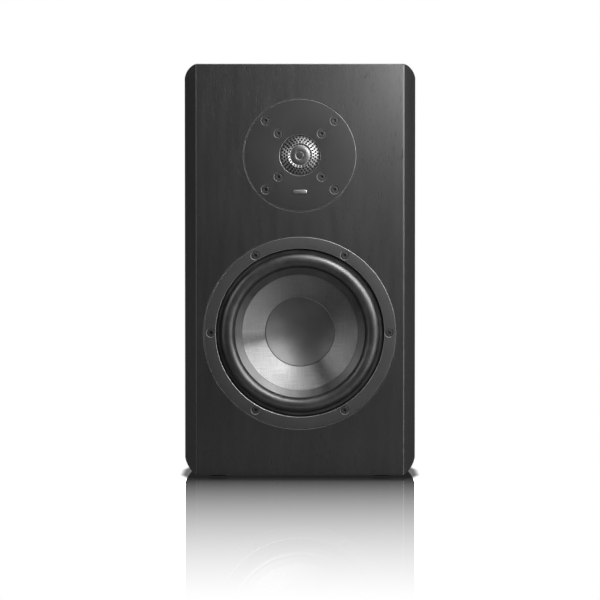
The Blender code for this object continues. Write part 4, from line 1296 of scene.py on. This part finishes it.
def round_woofer(off_axis, turn, distance):
    """A point that far from the woofer, at angles in degrees off its axis and round it from the right."""
    tilt, turn = math.radians(off_axis), math.radians(turn)
    across = distance * math.sin(tilt)
    reach = FRONT - distance * math.cos(tilt)
    return (across * math.cos(turn), reach, WOOFER.z + across * math.sin(turn))


def make_lights():
    """Small boxes that the drivers' curves mirror, strips beside the cabinet, and large boxes behind it."""
    woofer = (0, FRONT, WOOFER.z)
    top_right = (60, FRONT, 260)
    middle = (0, FRONT, 200)
    strip_depth = FRONT + 30
    boxes = [
        ("corner_far", (150, FRONT - 300, 418), top_right, 90, 90, 0.22),
        ("corner_near", (135, FRONT - 160, 393), top_right, 60, 60, 0.25),
        ("key_right", round_woofer(60, 26, 550), woofer, 240, 240, 1.1),
        ("key_middle", round_woofer(60, 52, 550), woofer, 200, 200, 0.5),
        ("key_cap", round_woofer(40, 40, 600), woofer, 150, 150, 0.75),
        ("key_high", round_woofer(60, 82, 550), woofer, 240, 240, 0.6),
        ("fill_left", round_woofer(60, 150, 600), woofer, 200, 200, 0.37),
        ("fill_side", round_woofer(60, 180, 600), woofer, 200, 200, 0.1),
        ("table_right", (330, FRONT - 300, 15), woofer, 240, 140, 0.4),
        ("table_front", (0, FRONT - 95, 3), woofer, 260, 70, 0.03),
        ("right_strip", (900, strip_depth, 250), (0, strip_depth, 250), 90, 900, 0.97),
        ("left_strip", (-900, strip_depth, 250), (0, strip_depth, 250), 90, 900, 0.45),
        ("overhead", (0, 60, 1500), middle, 900, 700, 2.5),
        ("overhead_right", (130, FRONT + 120, 1300), (130, FRONT + 120, 380), 180, 200, 0.6),
        ("back_fill", (0, 1900, 500), middle, 900, 600, 9.0),
        ("behind", (0, 1400, 2400), middle, 900, 900, 24.0),
        ("behind_left", (-1700, 700, 900), middle, 700, 700, 4.0),
        ("behind_right", (1700, 700, 900), middle, 700, 700, 5.0),
    ]
    for name, place, target, width, height, power in boxes:
        softbox(name, place, target, width, height, power)


def make_world():
    """White behind the object, and a room that is dim and mostly in front of it for what it reflects."""
    world = bpy.data.worlds.new("studio")
    world.use_nodes = True
    nodes = Nodes(world.node_tree)
    direct = nodes.add("LightPath", {}, "Is Camera Ray")
    mirrored = nodes.add("LightPath", {}, "Is Singular Ray")
    seen = nodes.math("MAXIMUM", direct, mirrored)
    direction = nodes.add("TexCoord", {}, "Generated")
    along, up = nodes.split(direction, "YZ")
    forward = nodes.between(along, 0.3, -0.5)
    upward = nodes.between(up, 0.25, 0.8)
    room = nodes.math("MULTIPLY_ADD", nodes.math("MAXIMUM", forward, upward), 0.9 * ROOM, 0.1 * ROOM)
    strength = nodes.math("MAXIMUM", seen, room)
    background = world.node_tree.nodes["Background"]
    background.inputs["Color"].default_value = (1, 1, 1, 1)
    world.node_tree.links.new(strength, background.inputs["Strength"])
    bpy.context.scene.world = world


def distance_from(nodes, x, y, half):
    """The distance on the floor from a rectangle as deep as the cabinet, and twice half wide."""
    beside = nodes.math("MAXIMUM", nodes.math("SUBTRACT", nodes.math("ABSOLUTE", x), half), 0.0)
    depth = nodes.apart(y, (FRONT + REAR) / 2)
    before = nodes.math("MAXIMUM", nodes.math("SUBTRACT", depth, DEPTH / 2), 0.0)
    squares = nodes.math("MULTIPLY_ADD", beside, beside, nodes.math("MULTIPLY", before, before))
    return nodes.math("SQRT", squares)


def plan_half(nodes, y):
    """Half the width of the contact shade at a depth: the cabinet's own, with soft front corners."""
    depth = nodes.math("SUBTRACT", y, FRONT)
    widest = SHOULDER - CONTACT_REACH / 2
    widening = nodes.between(depth, 0.0, SHOULDER_DEPTH / 3, half_width(0.0) + CONTACT_REACH, widest)
    tapering = nodes.between(depth, SHOULDER_DEPTH, DEPTH, widest, half_width(DEPTH) - CONTACT_REACH)
    return nodes.math("MINIMUM", widening, tapering)


def floor_material():
    """A white glossy surface, whose mirror image fades with the distance from the cabinet's foot."""
    made = bpy.data.materials.new("white_floor")
    made.use_nodes = True
    nodes = Nodes(made.node_tree)
    made.node_tree.nodes.remove(made.node_tree.nodes["Principled BSDF"])
    x, y = nodes.split(nodes.place(), "XY")
    nearness = nodes.between(distance_from(nodes, x, y, SHOULDER), MIRROR_FULL, MIRROR_REACH, 1.0, 0.0)
    seen = nodes.add("LightPath", {}, "Is Camera Ray")
    share = nodes.math("MULTIPLY", seen, MIRROR_SHARE)
    share = nodes.math("MULTIPLY", nodes.math("POWER", nearness, 1.25), share)
    glow = nodes.between(seen, 0.0, 1.0, FLOOR_GLOW, 1.0)
    plain = nodes.add("Emission", {"Color": (1, 1, 1, 1), "Strength": glow})
    contact = nodes.between(distance_from(nodes, x, y, plan_half(nodes, y)), 0.0, CONTACT_REACH)
    under = nodes.between(nodes.math("POWER", contact, 1.5), 0.0, 1.0, CONTACT_SHADE, 1.0)
    mirror = nodes.add("BsdfGlossy", {"Color": under, "Roughness": 0.0})
    surface = nodes.add("MixShader", {0: share, 1: plain, 2: mirror})
    made.node_tree.links.new(surface, made.node_tree.nodes["Material Output"].inputs["Surface"])
    return made


def make_floor():
    bm = bmesh.new()
    corners = [(-1, -1), (1, -1), (1, 1), (-1, 1)]
    bm.faces.new([bm.verts.new((u * FLOOR_HALF, v * FLOOR_HALF, 0)) for u, v in corners])
    floor = bpy.data.objects.new("floor", mesh_of("floor", bm))
    floor.data.materials.append(floor_material())
    bpy.context.scene.collection.objects.link(floor)


def main():
    make_camera()
    make_cabinet()
    make_woofer()
    make_tweeter()
    make_port()
    make_terminals()
    make_wadding()
    dress_inner_nodes()
    make_lights()
    make_world()
    make_floor()
    bpy.context.scene.view_settings.view_transform = "Standard"


main()
